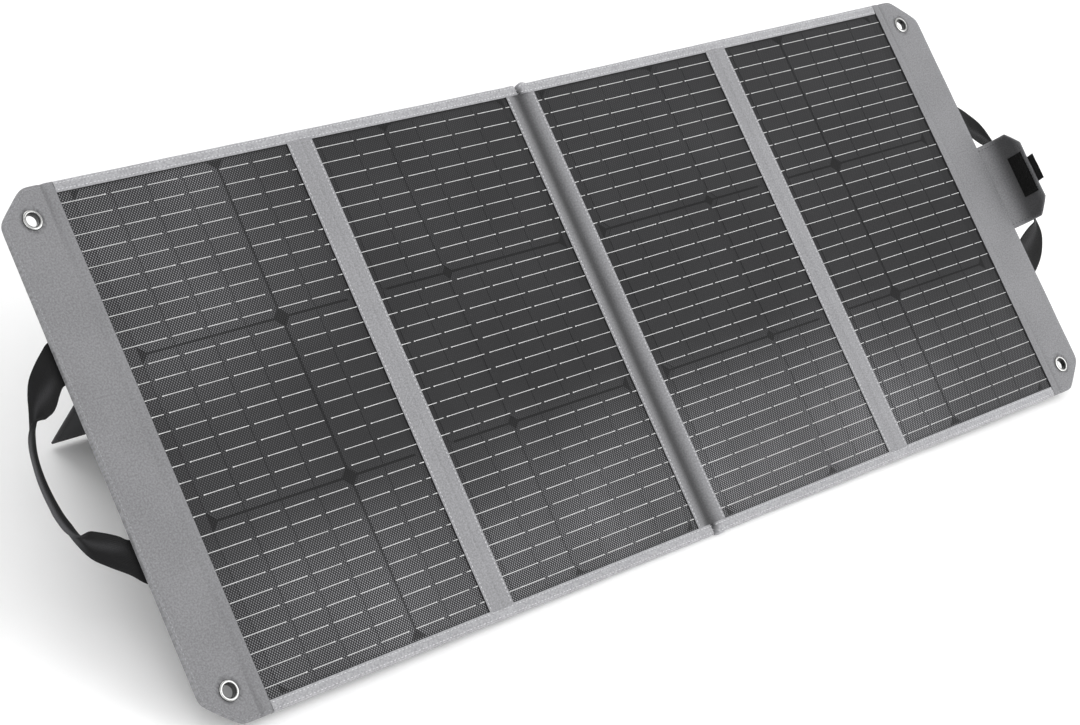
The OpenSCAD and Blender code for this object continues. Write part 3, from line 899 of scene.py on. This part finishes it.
def roundShoulder(co):
    # rounds the corner where the top or bottom edge turns into the cut
    alongCut = co.x - panel["halfLength"] + endFlap["cornerX"]
    cut = panel["halfHeight"] - alongCut * endFlap["cornerY"] / endFlap["cornerX"]
    least = min(panel["halfHeight"], cut)
    drop = least - softLeast(panel["halfHeight"], cut, endFlap["shoulder"])
    co.y -= math.copysign(drop * smoothStep(190, 291, abs(co.y)), co.y)
    return co


def eyeletDistance(co):
    return math.hypot(co.x - eyelet["x"], abs(co.y) - eyelet["y"])


def flapEdgeDistance(co):
    across = (flapReach(co.y) - co.x) * (1 if abs(co.y) < 256 else 0.68)
    return min(across, panel["halfHeight"] - abs(co.y))


def flapHeight(co):
    inward = flapEdgeDistance(co)
    z = endFlap["front"] + 0.35 * smoothStep(0, 9, inward)
    z -= 0.45 * bump(inward - endFlap["hem"], 1.1)
    z += 0.75 * (1 - smoothStep(662, 667, co.x))
    ends = 0.35 + 0.65 * smoothStep(150, 285, abs(co.y))
    z -= 1.3 * ends * bump(co.x - 668.5 - 1.5 * ripple(co.y, 0, 60, 2), 2.2)
    z += 0.3 * ripple(co.x, co.y, 45, 5) + 0.12 * ripple(co.x, co.y, 14, 8)
    for edge in (-1, 1):
        reach = math.hypot(co.x - eyelet["x"], co.y - edge * eyelet["y"])
        z = z * (1 - bump(reach, 13)) + 6.3 * bump(reach, 13)
    return z


def flapPaintedShade(co):
    # painted shade: a faint dark line along the inner seam, and a close shade round each eyelet
    seam = 0.28 * (0.2 + 0.8 * smoothStep(190, 285, abs(co.y))) * bump(co.x - endFlap["seamX"], 1.8)
    return seam + 0.75 * bump(eyeletDistance(co) - 12.4, 1.3)


def makeEndFlap(side):
    low, high = panel["outerEnd"], panel["halfLength"]
    tall = panel["halfHeight"]
    bm = flatSheet((low, -tall), (high, tall), (30, 168))
    shape(bm, lambda co: Vector((low + (co.x - low) * (flapReach(co.y) - low) / (high - low), co.y, 0)))
    shape(bm, roundShoulder)
    markPlace(bm)

    def backAt(co):
        # thin where it lies over the laminate
        return 5.56 if co.x < endFlap["lipEnd"] else endFlap["back"] + 0.12 * ripple(co.x, co.y, 50, 6)

    # the eyelet holes: the cloth is cut away and its edge drawn into a circle
    for edge in (-1, 1):
        centre = Vector((eyelet["x"], edge * eyelet["y"], 0))
        inside = [face for face in bm.faces if (face.calc_center_median() - centre).length < eyelet["cut"]]
        bmesh.ops.delete(bm, geom=inside, context="FACES")
        for vert in bm.verts:
            away = vert.co - centre
            if vert.is_boundary and away.length < 16:
                vert.co = centre + away.normalized() * eyelet["barrel"]
    markAmount(bm, "wearAndPaintedShine", lambda co: bump(flapEdgeDistance(co), 2.2))
    markAmount(bm, "crease", flapPaintedShade)
    shape(bm, lambda co: Vector((co.x, co.y, flapHeight(co))))
    thicken(bm, backAt)
    # painted shade on the flap's inner end wall
    darkRim(bm, lambda spot, normal: spot.x < low + 0.5)
    softenRim(bm, 1.2, keepOff=lambda co: eyeletDistance(co) < eyelet["plainRim"])
    name = f"{side}_end_flap"
    body = f"outer_{side}_panel"
    cloth = finishPiece(bm, name + "_cloth", side, [flapFabric, edgeShadeCloth], body, sharp=50)
    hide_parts(name)
    bm = bmesh.new()
    hem, corner = endFlap["hem"], tall - endFlap["cornerY"]
    outline = [(low + 2, tall - hem), (high - endFlap["cornerX"] - 1.6, tall - hem)]
    outline.append((high - hem, corner - 1.4))
    outline += [(x, -y) for x, y in reversed(outline)]
    addStitchPath(bm, [(x, y, 6.15) for x, y in outline])
    addStitchPath(bm, [(x, y, 1.55) for x, y in outline[1:-1]])
    addStitches(bm, (low + 2.6, -277, 7.2), (low + 2.6, 277, 7.2))
    shape(bm, lambda co: co + Vector((0, 0, flapHeight(co) - 6.0)) if 5 < co.z < 6.9 else co)
    finishPiece(bm, name + "_stitches", side, greyThread, body)
    bm = bmesh.new()
    for edge in (-1, 1):
        centre = (eyelet["x"], edge * eyelet["y"], 0)
        line = [bm.verts.new((centre[0] + radius, centre[1], z)) for radius, z in eyeletRing]
        edges = [bm.edges.new(pair) for pair in zip(line, line[1:] + line[:1])]
        bmesh.ops.spin(
            bm, geom=line + edges, cent=centre, axis=(0, 0, 1), angle=2 * math.pi, steps=48, use_merge=True
        )
    bmesh.ops.recalc_face_normals(bm, faces=bm.faces[:])
    # painted shade: the throat and the outer rim take the shaded nickel, and only the band between stays
    # bright
    for face in bm.faces:
        if not eyelet["brightFrom"] < eyeletDistance(face.calc_center_median()) < eyelet["brightTo"]:
            face.material_index = 1
    rings = finishPiece(bm, f"{side}_eyelet_rings", side, [nickel, nickelPaintedShade], body, sharp=60)
    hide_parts(f"{side}_eyelets")


for side in sides:
    makeEndFlap(side)
print("end flaps and eyelets made")

# Webbing handles
handle = {
    "width": 50, "length": 460, "thick": 1.7, "steps": 170, "flatZ": -0.6, "layer": 1.05,
    "boxX": (698, 724), "boxY": 106, "boxHalf": 21,
}
# The strap's outer and inner edge, station by station from the upper sewn end to the lower one
upperArm = [
    ((696, 131, -0.6), (696, 81, -0.6)), ((713, 131.5, -0.6), (714, 82, -0.6)),
    ((727, 131.5, -0.6), (728, 84, -0.6)),
    ((739, 123, -0.8), (737, 76.5, -0.4)), ((752, 111.5, -1.2), (745, 67, 0.4)),
    ((763, 99, -1.8), (753, 60.5, 1.6)),
    ((770, 85, -2.6), (763, 56.5, 3.0)), ((775, 70, -3.6), (773, 53.5, 4.6)),
    ((780, 57, -4.4), (781, 48, 5.6)),
]
grip = [
    ((785, 44, -5.0), (786.5, 37, 6.2)), ((789, 31, -5.2), (790, 25, 6.2)),
    ((791.5, 16, -5.4), (792, 12, 6.2)),
    ((793, 2, -5.6), (792.5, -2, 6.2)), ((793, -13, -6), (792, -15, 6.2)),
    ((792, -26, -6.4), (790.5, -28, 6.2)),
    ((790.5, -39, -6.8), (788, -41, 6.0)),
]
lowerArms = {
    "left": [
        ((786, -56, -6.4), (784, -52, 5.6)), ((781, -72, -5.2), (779, -58, 4.6)),
        ((772, -89, -3.6), (767, -62, 3.0)),
        ((757, -103, -2.0), (751, -68.5, 1.4)), ((741, -116, -1.0), (738, -75, 0.2)),
    ],
    "right": [
        ((793, -56, -6.2), (783, -51, 5.4)), ((791, -74, -5.0), (774, -60, 4.4)),
        ((782, -89, -3.6), (763, -64, 3.0)),
        ((765, -107, -2.0), (751, -69, 1.4)), ((745, -121, -1.0), (738, -75.5, 0.2)),
    ],
}
lowerEnd = [
    ((727, -130, -0.6), (728, -82, -0.6)), ((713, -131.5, -0.6), (714, -82, -0.6)),
    ((696, -131, -0.6), (696, -81, -0.6)),
]


def stationLine(points, count):
    # a smooth line that passes the given points at even steps
    ends = withEnds(points)
    line = []
    for number in range(count + 1):
        at = min(len(points) - 2, int((len(points) - 1) * number / count))
        t = (len(points) - 1) * number / count - at
        line.append(between(*ends[at : at + 4], t))
    return line


def makeHandle(side):
    stations = upperArm + grip + lowerArms[side] + lowerEnd
    steps = handle["steps"]
    outer = stationLine([pair[0] for pair in stations], steps)
    inner = stationLine([pair[1] for pair in stations], steps)
    firstFold = [(len(upperArm) + number) / (len(stations) - 1) for number in (-3, 0.4)]
    unfolding = (-0.4, 2.2) if side == "left" else (-1.4, 0.8)
    lastFold = [(len(upperArm + grip) + number) / (len(stations) - 1) for number in unfolding]
    bm = flatSheet((-1, 0), (1, 1), (14, steps))
    place = bm.verts.layers.float_vector["flatPlace"]
    # this amount is the painted highlight on the webbing
    shine = bm.verts.layers.float.new("wearAndPaintedShine")
    for vert in bm.verts:
        across, along = vert.co.x, vert.co.y
        vert[place] = (across * handle["width"] * 0.0005, along * handle["length"] * 0.001, 0)
        at = round(along * steps)
        low, high = outer[at], inner[at]
        direction = (outer[min(steps, at + 1)] - outer[max(0, at - 1)]).normalized()
        sideways = direction.cross(high - low).normalized()
        # flat at the sewn ends, folded in half on its edge at the grip
        folded = smoothStep(*firstFold, along) * (1 - smoothStep(*lastFold, along))
        flat = low.lerp(high, (1 - across) / 2)
        layer = handle["layer"] * math.copysign(smoothStep(0, 0.16, abs(across)), across)
        upright = high.lerp(low, abs(across)) + sideways * layer
        spot = flat.lerp(upright, folded)
        # the half-folded webbing bellies, dips and wrinkles
        loose = smoothStep(728, 752, low.x) * (1 - folded)
        belly = 3.2 * (1 - across * across) + 1.4 * ripple(across * 9, along * 70, 6, 2.2)
        spot += sideways * loose * belly
        spot.z -= loose * 1.6 * bump(across - 0.25, 0.35)
        vert.co = spot
        # painted highlight where the webbing catches the light, down the outside of the grip and in a streak
        # on each flare
        streak = bump(across + 0.3 - 3 * (along - 0.16 if along < 0.5 else 0.84 - along), 0.24)
        outside = folded * smoothStep(0.25, 0.6, abs(across)) * smoothStep(0.3, 0.5, along)
        vert[shine] = outside + 0.28 * loose * streak
    bmesh.ops.recalc_face_normals(bm, faces=bm.faces[:])
    strap = finishPiece(bm, f"{side}_handle_webbing", side, blackWebbing, sharp=180)
    giveThickness(strap, handle["thick"])
    softer = strap.modifiers.new("smooth webbing", "SUBSURF")
    softer.levels = softer.render_levels = 1
    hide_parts(f"{side}_handle", f"{side}_handle_sewn_ends")
    start, end = placed((724, 0, 0), side), placed((738, 0, 0), side)
    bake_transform(strap)
    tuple(start)
    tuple(end)
    bm = bmesh.new()
    for edge in (-1, 1):
        near, far = handle["boxX"]
        middle, sewnZ = edge * handle["boxY"], handle["flatZ"] - 1.0
        addCrossedBox(bm, near, far, middle - handle["boxHalf"], middle + handle["boxHalf"], sewnZ)
    finishPiece(bm, f"{side}_handle_stitches", side, paleThread, f"outer_{side}_panel")


for side in sides:
    makeHandle(side)
print("handles made")

# Closure flap at the right end
closure = {
    "root": (729.8, 4.0), "rootAngle": math.radians(40), "radius": 54, "sweep": math.radians(66),
    "width": 120, "shoulder": 20, "thick": 1.9, "piping": 1.25, "stitchInset": 4.5,
}
closure["length"] = closure["radius"] * closure["sweep"]
curlCentre = (
    closure["root"][0] - 55 * math.sin(closure["rootAngle"]),
    closure["root"][1] + 55 * math.cos(closure["rootAngle"]),
)


def curl(co):
    # from the flap laid flat (x along it, y across, z inwards) to its curl
    angle = closure["rootAngle"] + co.x / closure["radius"]
    radius = closure["radius"] - co.z
    return Vector((curlCentre[0] + radius * math.sin(angle), co.y, curlCentre[1] - radius * math.cos(angle)))


def closureHalfWidth(along):
    # the two shoulders are cut at the free end
    left = closure["length"] - along
    return softLeast(closure["width"] / 2, closure["width"] / 2 - closure["shoulder"] + left, 1.2)


def blendClosure(piece):
    start, end = placed((728, 0, 4), "right"), placed((738, 0, 10), "right")
    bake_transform(piece)
    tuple(start)
    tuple(end)


def closureWave(co):
    free = smoothStep(0, closure["length"], co.x)
    co.z += 0.9 * free * ripple(co.x, co.y, 34, 3) + 0.5 * bump(abs(co.y) - 50, 9) * free
    return co


def closureWear(co):
    return bump(min(closureHalfWidth(co.x) - abs(co.y), closure["length"] - co.x), 3.0)


def closureShade(co):
    # painted shade: the cloth is darkened where it curls away from the light, and a little less towards its
    # free end
    return 1.08 * smoothStep(2, 32, co.x) - 0.42 * smoothStep(48, 61, co.x)


bm = flatSheet((-3, -60), (closure["length"], 60), (26, 44))
shape(bm, lambda co: Vector((co.x, co.y * closureHalfWidth(co.x) / 60, 0)))
markPlace(bm)
markAmount(bm, "wearAndPaintedShine", closureWear)
markAmount(bm, "crease", closureShade)
shape(bm, closureWave)
shape(bm, curl)
flapCloth = finishPiece(bm, "closure_flap_cloth", "right", flapFabric, sharp=180)
giveThickness(flapCloth, closure["thick"])
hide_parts("closure_flap")
blendClosure(flapCloth)

free, shoulder = closure["length"], closure["shoulder"]
hemLine = [(-1.0, 60), (free - shoulder, 60), (free, 60 - shoulder)]
hemLine = hemLine + [(x, -y) for x, y in reversed(hemLine)]
fineHem = []
for (ax, ay), (bx, by) in zip(hemLine, hemLine[1:]):
    steps = max(2, int(math.hypot(bx - ax, by - ay) / 3))
    fineHem += [(ax + (bx - ax) * n / steps, ay + (by - ay) * n / steps, 0) for n in range(steps)]
fineHem.append((*hemLine[-1], 0))
bm = pipeMesh(fineHem, closure["piping"])
# painted shade on the piping, weaker than on the cloth
markAmount(bm, "crease", lambda co: 0.6 * closureShade(co))
shape(bm, closureWave)
shape(bm, curl)
piping = finishPiece(bm, "closure_flap_piping", "right", flapFabric, sharp=80)
blendClosure(piping)

bm = bmesh.new()
for z in (1.1, -1.1):
    inner = [(x - (4 if x > 40 else 0), y - math.copysign(closure["stitchInset"], y), z) for x, y in hemLine]
    addStitchPath(bm, inner, pitch=4.2, length=2.8)
shape(bm, closureWave)
shape(bm, curl)
blendClosure(finishPiece(bm, "closure_flap_stitches", "right", darkThread))

hookPatch = {"from": 32.0, "to": 56.8, "width": 58, "low": 0.9, "high": 2.3}
patchHalf = hookPatch["width"] / 2
bm = flatSheet((hookPatch["from"], -patchHalf), (hookPatch["to"], patchHalf), (18, 46))
shape(bm, lambda co: Vector((co.x, co.y, hookPatch["high"] + 0.16 * ripple(co.x * 7, co.y * 7, 9, 3))))
thicken(bm, lambda co: hookPatch["low"])
softenRim(bm, 0.6, segments=2)
shape(bm, closureWave)
shape(bm, curl)
patch = finishPiece(bm, "closure_hook_tape", "right", hookTape, "closure_flap", sharp=80)
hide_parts("closure_hook_patch")

pullTab = {
    "width": 36,
    "steps": 24,
    "outline": [
        (52, -1.0), (60, -1.15), (68, -1.3), (74.6, -1.2), (76.2, -1.7), (76.6, -2.4),
        (76.1, -3.1), (74.5, -3.5), (68, -3.3), (60, -3.2), (54, -3.1), (52, -2.5),
    ],
}
tabLine = [(x, -pullTab["width"] / 2, z) for x, z in pullTab["outline"]]
bm = sweep(tabLine, (0, pullTab["width"] / pullTab["steps"], 0), pullTab["steps"])
shape(bm, lambda co: co + 0.3 * Vector((0, ripple(co.x, co.z, 10, 4), ripple(co.x, co.y, 12, 2))))
shape(bm, curl)
tab = finishPiece(bm, "closure_pull_webbing", "right", blackWebbing, "closure_flap", sharp=70)
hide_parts("closure_pull_tab")

# The loop patch behind the left end, where the hook patch lands
loopPatch = {"low": (678, -32), "high": (708, 32), "stitchInset": 2.5}
bm = flatSheet(loopPatch["low"], loopPatch["high"], (24, 50))
shape(bm, lambda co: Vector((co.x, co.y, 1.5)))
thicken(bm, lambda co: 0.3 + 0.2 * ripple(co.x * 6, co.y * 6, 9, 5))
softenRim(bm, 0.5, upward=-1, segments=2)
patch = finishPiece(bm, "closure_loop_tape", "left", loopTape, "outer_left_panel", sharp=80)
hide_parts("closure_loop_patch")
bm = bmesh.new()
(nearX, nearY), (farX, farY) = loopPatch["low"], loopPatch["high"]
inset = loopPatch["stitchInset"]
addStitchLoop(bm, nearX + inset, farX - inset, nearY + inset, farY - inset, 0.15)
finishPiece(bm, "closure_loop_stitches", "left", darkThread, "outer_left_panel")
print("closure flap made")

# Back covers
backCover = {"tuck": 8, "edgeY": 291, "full": 278}


def makeBackCover(section, side):
    low, high = sections[section]
    tuck, edgeY = backCover["tuck"], backCover["edgeY"]
    bm = flatSheet((low - tuck, -edgeY), (high + tuck, edgeY), (48, 88))
    shape(bm, lambda co: Vector((co.x, co.y, -0.02)))

    def backAt(co):
        inside = min(smoothStep(0, 20, co.x - low), smoothStep(0, 20, high - co.x))
        inside = min(inside, smoothStep(0, 16, backCover["full"] - abs(co.y)))
        return -1.0 - inside * (0.2 + 0.45 * ripple(co.x, co.y, 70, 3) + 0.15 * ripple(co.x, co.y, 20, 6))

    thicken(bm, backAt)
    node, body = f"{section}_{side}_back_cover", f"{section}_{side}_panel"
    cloth = finishPiece(bm, node + "_cloth", side, backFabric, body, sharp=50)
    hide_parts(node)


for side in sides:
    for section in sections:
        makeBackCover(section, side)
print("back covers made")

# Kickstands
leg = {
    "x": 504.5, "hingeY": 144, "hingeZ": -5, "open": math.radians(75.96149), "width": 228, "length": 252,
    "top": -3, "stitchZ": 1.85, "hingeInset": 4,
}
legPlace = Matrix.Translation((leg["x"], leg["hingeY"], leg["hingeZ"]))
legFrame = legPlace @ Matrix.Rotation(leg["open"], 4, "X")


def alongLeg(reach, offFace):
    # a place on the leg, in the flat half's y and z
    spot = legFrame @ Vector((0, -reach, offFace))
    return spot.y, spot.z


def sleeveHalfThick(co):
    edge = min(leg["width"] / 2 - abs(co.x), leg["top"] - co.y, co.y + leg["length"])
    return 1.35 + 0.75 * smoothStep(1, 9, edge) - 0.35 * bump(edge - 5, 1.2)


def makeKickstand(side):
    half = leg["width"] / 2
    panelBody, legBody = f"outer_{side}_panel", f"{side}_kickstand"
    bm = flatSheet((-half, -leg["length"]), (half, leg["top"]), (60, 66))
    shape(bm, lambda co: Vector((co.x, co.y, sleeveHalfThick(co) + 0.12 * ripple(co.x, co.y, 26, 4))))
    thicken(bm, lambda co: -sleeveHalfThick(co) - 0.12 * ripple(co.x, co.y, 30, 7))
    softenRim(bm, 0.6, segments=2)
    softenRim(bm, 0.6, upward=-1, segments=2)
    name = f"{side}_kickstand_sleeve"
    sleeve = finishPiece(bm, name, side, sleeveFabric, legBody, turn=legFrame, sharp=50)
    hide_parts(f"{side}_kickstand_cover")
    bm = bmesh.new()
    near, far, out = leg["top"] - 5, -leg["length"] + 5, half - 5
    corners = [(-out, near), (-out, far), (out, far), (out, near), (-out, near)]
    for z in (leg["stitchZ"], -leg["stitchZ"]):
        addStitchPath(bm, [(x, y, z) for x, y in corners])
    finishPiece(bm, f"{side}_kickstand_stitches", side, darkThread, legBody, turn=legFrame)

    # the cloth hinge, from the back cover over the top of the leg
    onLeg = alongLeg(24, -2.6)
    line = [(176, -1.6), (160, -1.7), (152, -2.4), (147.6, -5.2), (146.0, -9.5), onLeg]
    reach = half - leg["hingeInset"]
    bm, length = layAlong(line, 33, (leg["x"] - reach, leg["x"] + reach), 46)
    node = f"{side}_kickstand_hinge"
    hinge = finishPiece(bm, node + "_cloth", side, sleeveFabric, sharp=180)
    giveThickness(hinge, 0.9)
    start, end = placed((leg["x"], 151, -2.6), side), placed((leg["x"], 145.5, -10), side)
    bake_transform(hinge)
    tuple(start)
    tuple(end)
    bm = bmesh.new()
    for y in (173, 166):
        addStitches(bm, (leg["x"] - half + 7, y, -2.15), (leg["x"] + half - 7, y, -2.15))
    finishPiece(bm, node + "_stitches", side, darkThread, panelBody)


tether = {"width": 25, "reach": 200, "offFace": 2.9, "tail": 22, "thick": 1.5}


def makeTether(side):
    legY, legZ = alongLeg(tether["reach"], tether["offFace"])
    tip = alongLeg(tether["reach"] + tether["tail"], tether["offFace"])
    line = [
        (-156, -1.9), (-142, -1.9), (-132, -2.6), (-122, -9), (-60, -68), (10, -129), (62, -174),
        (legY - 9, legZ + 3.5), (legY - 3.5, legZ - 4), tip,
    ]
    bm, length = layAlong(line, 90, (-tether["width"] / 2, tether["width"] / 2), 8, aside=leg["x"])
    strap = finishPiece(bm, f"{side}_tether_webbing", side, blackWebbing, sharp=180)
    giveThickness(strap, tether["thick"])
    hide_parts(f"{side}_kickstand_tether")
    start, end = placed((leg["x"], -128, -3), side), placed((leg["x"], legY - 6, legZ + 2), side)
    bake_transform(strap)
    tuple(start)
    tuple(end)
    bm = bmesh.new()
    corners = [(-10, -154), (10, -154), (10, -136), (-10, -136), (-10, -154), (10, -136)]
    addStitchPath(bm, [(leg["x"] + x, y, -2.75) for x, y in corners])
    addStitches(bm, (leg["x"] + 10, -154, -2.75), (leg["x"] - 10, -136, -2.75))
    finishPiece(bm, f"{side}_tether_stitches", side, paleThread, f"outer_{side}_panel")


for side in sides:
    makeKickstand(side)
    makeTether(side)
print("kickstands made")

# Zipped cable pocket on the back
pocket = {
    "x": 504.5, "width": 240, "low": -250, "high": -158, "depth": 20, "hem": 7, "stitchInset": 4,
    "zipY": -174, "zipLength": 216,
}


def pocketDepth(x, y):
    across = abs(x - pocket["x"]) / (pocket["width"] / 2)
    middle, tall = (pocket["low"] + pocket["high"]) / 2, (pocket["high"] - pocket["low"]) / 2
    upward = abs(y - middle) / tall
    if across >= 1 or upward >= 1:
        return 0.0
    full = (1 - across**9) ** (1 / 7) * (1 - upward**6) ** (1 / 5)
    sag = 1 + 0.035 * ripple(x, y, 38, 6) - 0.05 * smoothStep(-200, -165, y)
    return pocket["depth"] * full * sag


hem, reach = pocket["hem"], pocket["width"] / 2 + pocket["hem"]
low, high = (pocket["x"] - reach, pocket["low"] - hem), (pocket["x"] + reach, pocket["high"] + hem)
bm = flatSheet(low, high, (127, 66))
shape(bm, lambda co: Vector((co.x, co.y, -2.0 - max(0, pocketDepth(co.x, co.y) - 1))))
bmesh.ops.smooth_vert(bm, verts=bm.verts[:], factor=0.5, use_axis_z=True)
body = "outer_right_panel"
pocketCloth = finishPiece(bm, "cable_pocket_cloth", "right", sleeveFabric, body, sharp=180)
giveThickness(pocketCloth, 1.0)
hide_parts("cable_pocket")
bm = bmesh.new()
inset = pocket["stitchInset"]
out = pocket["width"] / 2 + inset
addStitchLoop(bm, pocket["x"] - out, pocket["x"] + out, pocket["low"] - inset, pocket["high"] + inset, -2.6)
finishPiece(bm, "cable_pocket_stitches", "right", darkThread, body)


def onPocket(co):
    # lays a flat strip on the pocket's face
    return Vector((co.x, co.y, co.z - 2.0 - max(0, pocketDepth(co.x, co.y) - 1)))


# The zip: its two tapes, the teeth between them and the slider near the left end
zipParts = {"apart": 5.4, "half": 4.2, "over": 4, "teeth": 106, "toothPitch": 2.0, "tooth": (1.25, 2.9, 1.1)}
zipY = pocket["zipY"]
zipLow, zipHigh = pocket["x"] - pocket["zipLength"] / 2, pocket["x"] + pocket["zipLength"] / 2
bm = bmesh.new()
for edge in (-1, 1):
    middleY = zipY + edge * zipParts["apart"]
    low = (zipLow - zipParts["over"], middleY - zipParts["half"])
    high = (zipHigh + zipParts["over"], middleY + zipParts["half"])
    tapeSide = flatSheet(low, high, (90, 6))
    shape(tapeSide, lambda co: Vector((co.x, co.y, -0.55)))
    thicken(tapeSide, lambda co: -1.1)
    shape(tapeSide, onPocket)
    joinInto(bm, tapeSide)
tape = finishPiece(bm, "pocket_zip_tape", "right", blackWebbing, body, sharp=60)
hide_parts("pocket_zip")
bm = bmesh.new()
for number in range(zipParts["teeth"]):
    x = zipLow + 1.5 + number * zipParts["toothPitch"]
    edge = 1 if number % 2 else -1
    spot = Matrix.Translation((x, zipY + edge * 0.55, -1.35)) @ Matrix.Diagonal((*zipParts["tooth"], 1))
    bmesh.ops.create_cube(bm, size=1, matrix=spot)
shape(bm, onPocket)
finishPiece(bm, "pocket_zip_teeth", "right", zipPlastic, body)



def addBlock(bm, at, size, rounding):
    place = Matrix.Translation(at) @ Matrix.Diagonal((*size, 1))
    bmesh.ops.create_cube(bm, size=1, matrix=place)
    bmesh.ops.bevel(
        bm, geom=bm.edges[:], offset=rounding, segments=3, profile=0.5, affect="EDGES", material=-1
    )


pullX = zipLow + 9
bm = bmesh.new()
addBlock(bm, (pullX, zipY, -24.0), (9.5, 8, 2.6), 0.8)
bridgeLine = [(3, -25.2), (2.6, -26.8), (0, -27.4), (-2.6, -26.8), (-3, -25.2)]
bridge = pipeMesh([(pullX, zipY + y, z) for y, z in bridgeLine], 0.8)
angles = [number * math.pi / 8 for number in range(16)]
ring = [(pullX + 2.6 * math.cos(angle), zipY - 4.5 + 3.2 * math.sin(angle), -26.2) for angle in angles]
loop = pipeMesh(ring, 0.7, closed=True)
tag = bmesh.new()
addBlock(tag, (pullX, zipY - 16.5, -26.2), (5.5, 19, 1.6), 0.7)
for part in (bridge, loop, tag):
    joinInto(bm, part)
markPlace(bm)
slider = finishPiece(bm, "zip_slider", "right", zipMetal, "zip_pull", sharp=50)
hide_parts("zip_pull")
print("cable pocket made")

# The pieces whose own shape is right take their finish
keptFinishes = {
    "laminate": backSheet,
    "cells": cellFilm,
    "circuit_board": greenBoard,
    "board": stiffener,
    "eyelet_washers": nickelBack,
    "junction_box_base": mouldedPlastic,
    "junction_box_lid": mouldedPlastic,
    "output_socket": mouldedPlastic,
    "junction_box_screws": screwSteel,
    "bypass_diodes": diodeBody,
}
for name, piece in cadNodes.items():
    if piece.hide_render:
        continue
    finish = next(material for ending, material in keptFinishes.items() if name.endswith(ending))
    if not piece.material_slots:
        piece.data.materials.append(finish)
    for holder in piece.material_slots:
        holder.material = finish
print("kept pieces finished")

# Floor, light and camera
stage = {"floorSize": 14, "floorZ": -0.0005}
bm = bmesh.new()
bmesh.ops.create_grid(bm, x_segments=8, y_segments=8, size=stage["floorSize"] / 2)
bmesh.ops.translate(bm, vec=(0, 0, stage["floorZ"]), verts=bm.verts)
markPlace(bm)
floorMesh = bpy.data.meshes.new("floor")
bm.to_mesh(floorMesh)
bm.free()
floor = bpy.data.objects.new("floor", floorMesh)
scene.collection.objects.link(floor)
floorMesh.materials.append(paleFloor())

world = bpy.data.worlds.new("soft studio")
world.use_nodes = True
sky = world.node_tree
height = addNode(sky, "SeparateXYZ", {0: addNode(sky, "TexCoord").outputs["Generated"]}).outputs[2]
sky.nodes["Background"].inputs["Color"].default_value = (1, 1, 1, 1)
sky.links.new(ranged(sky, height, 0.0, 0.8, 0.78, 0.9), sky.nodes["Background"].inputs["Strength"])
scene.world = world
lamps = {
    "key": {"at": (1.8, -1.9, 2.1), "size": 2.8, "power": 52},
    "fill": {"at": (-2.2, -1.6, 2.8), "size": 2.8, "power": 24},
    "back": {"at": (-0.4, 2.6, 2.8), "size": 2.4, "power": 34},
}
for name, lamp in lamps.items():
    data = bpy.data.lights.new(name, "AREA")
    data.shape = "SQUARE"
    data.size = lamp["size"]
    data.energy = lamp["power"]
    light = bpy.data.objects.new(name, data)
    light.location = lamp["at"]
    light.rotation_mode = "QUATERNION"
    light.rotation_quaternion = (Vector((0, 0, 0.15)) - Vector(lamp["at"])).to_track_quat("-Z", "Y")
    scene.collection.objects.link(light)

view = {"lens": 82.366, "at": (-1.9689, -1.4774, 1.7222), "turn": (0.844679, 0.385899, -0.266386, -0.258141)}
cameraData = bpy.data.cameras.new("camera")
cameraData.lens = view["lens"]
cameraData.sensor_width = 36
camera = bpy.data.objects.new("camera", cameraData)
camera.location = view["at"]
camera.rotation_mode = "QUATERNION"
camera.rotation_quaternion = view["turn"]
scene.collection.objects.link(camera)
scene.camera = camera
scene.view_settings.view_transform = "Standard"
print("stage set")
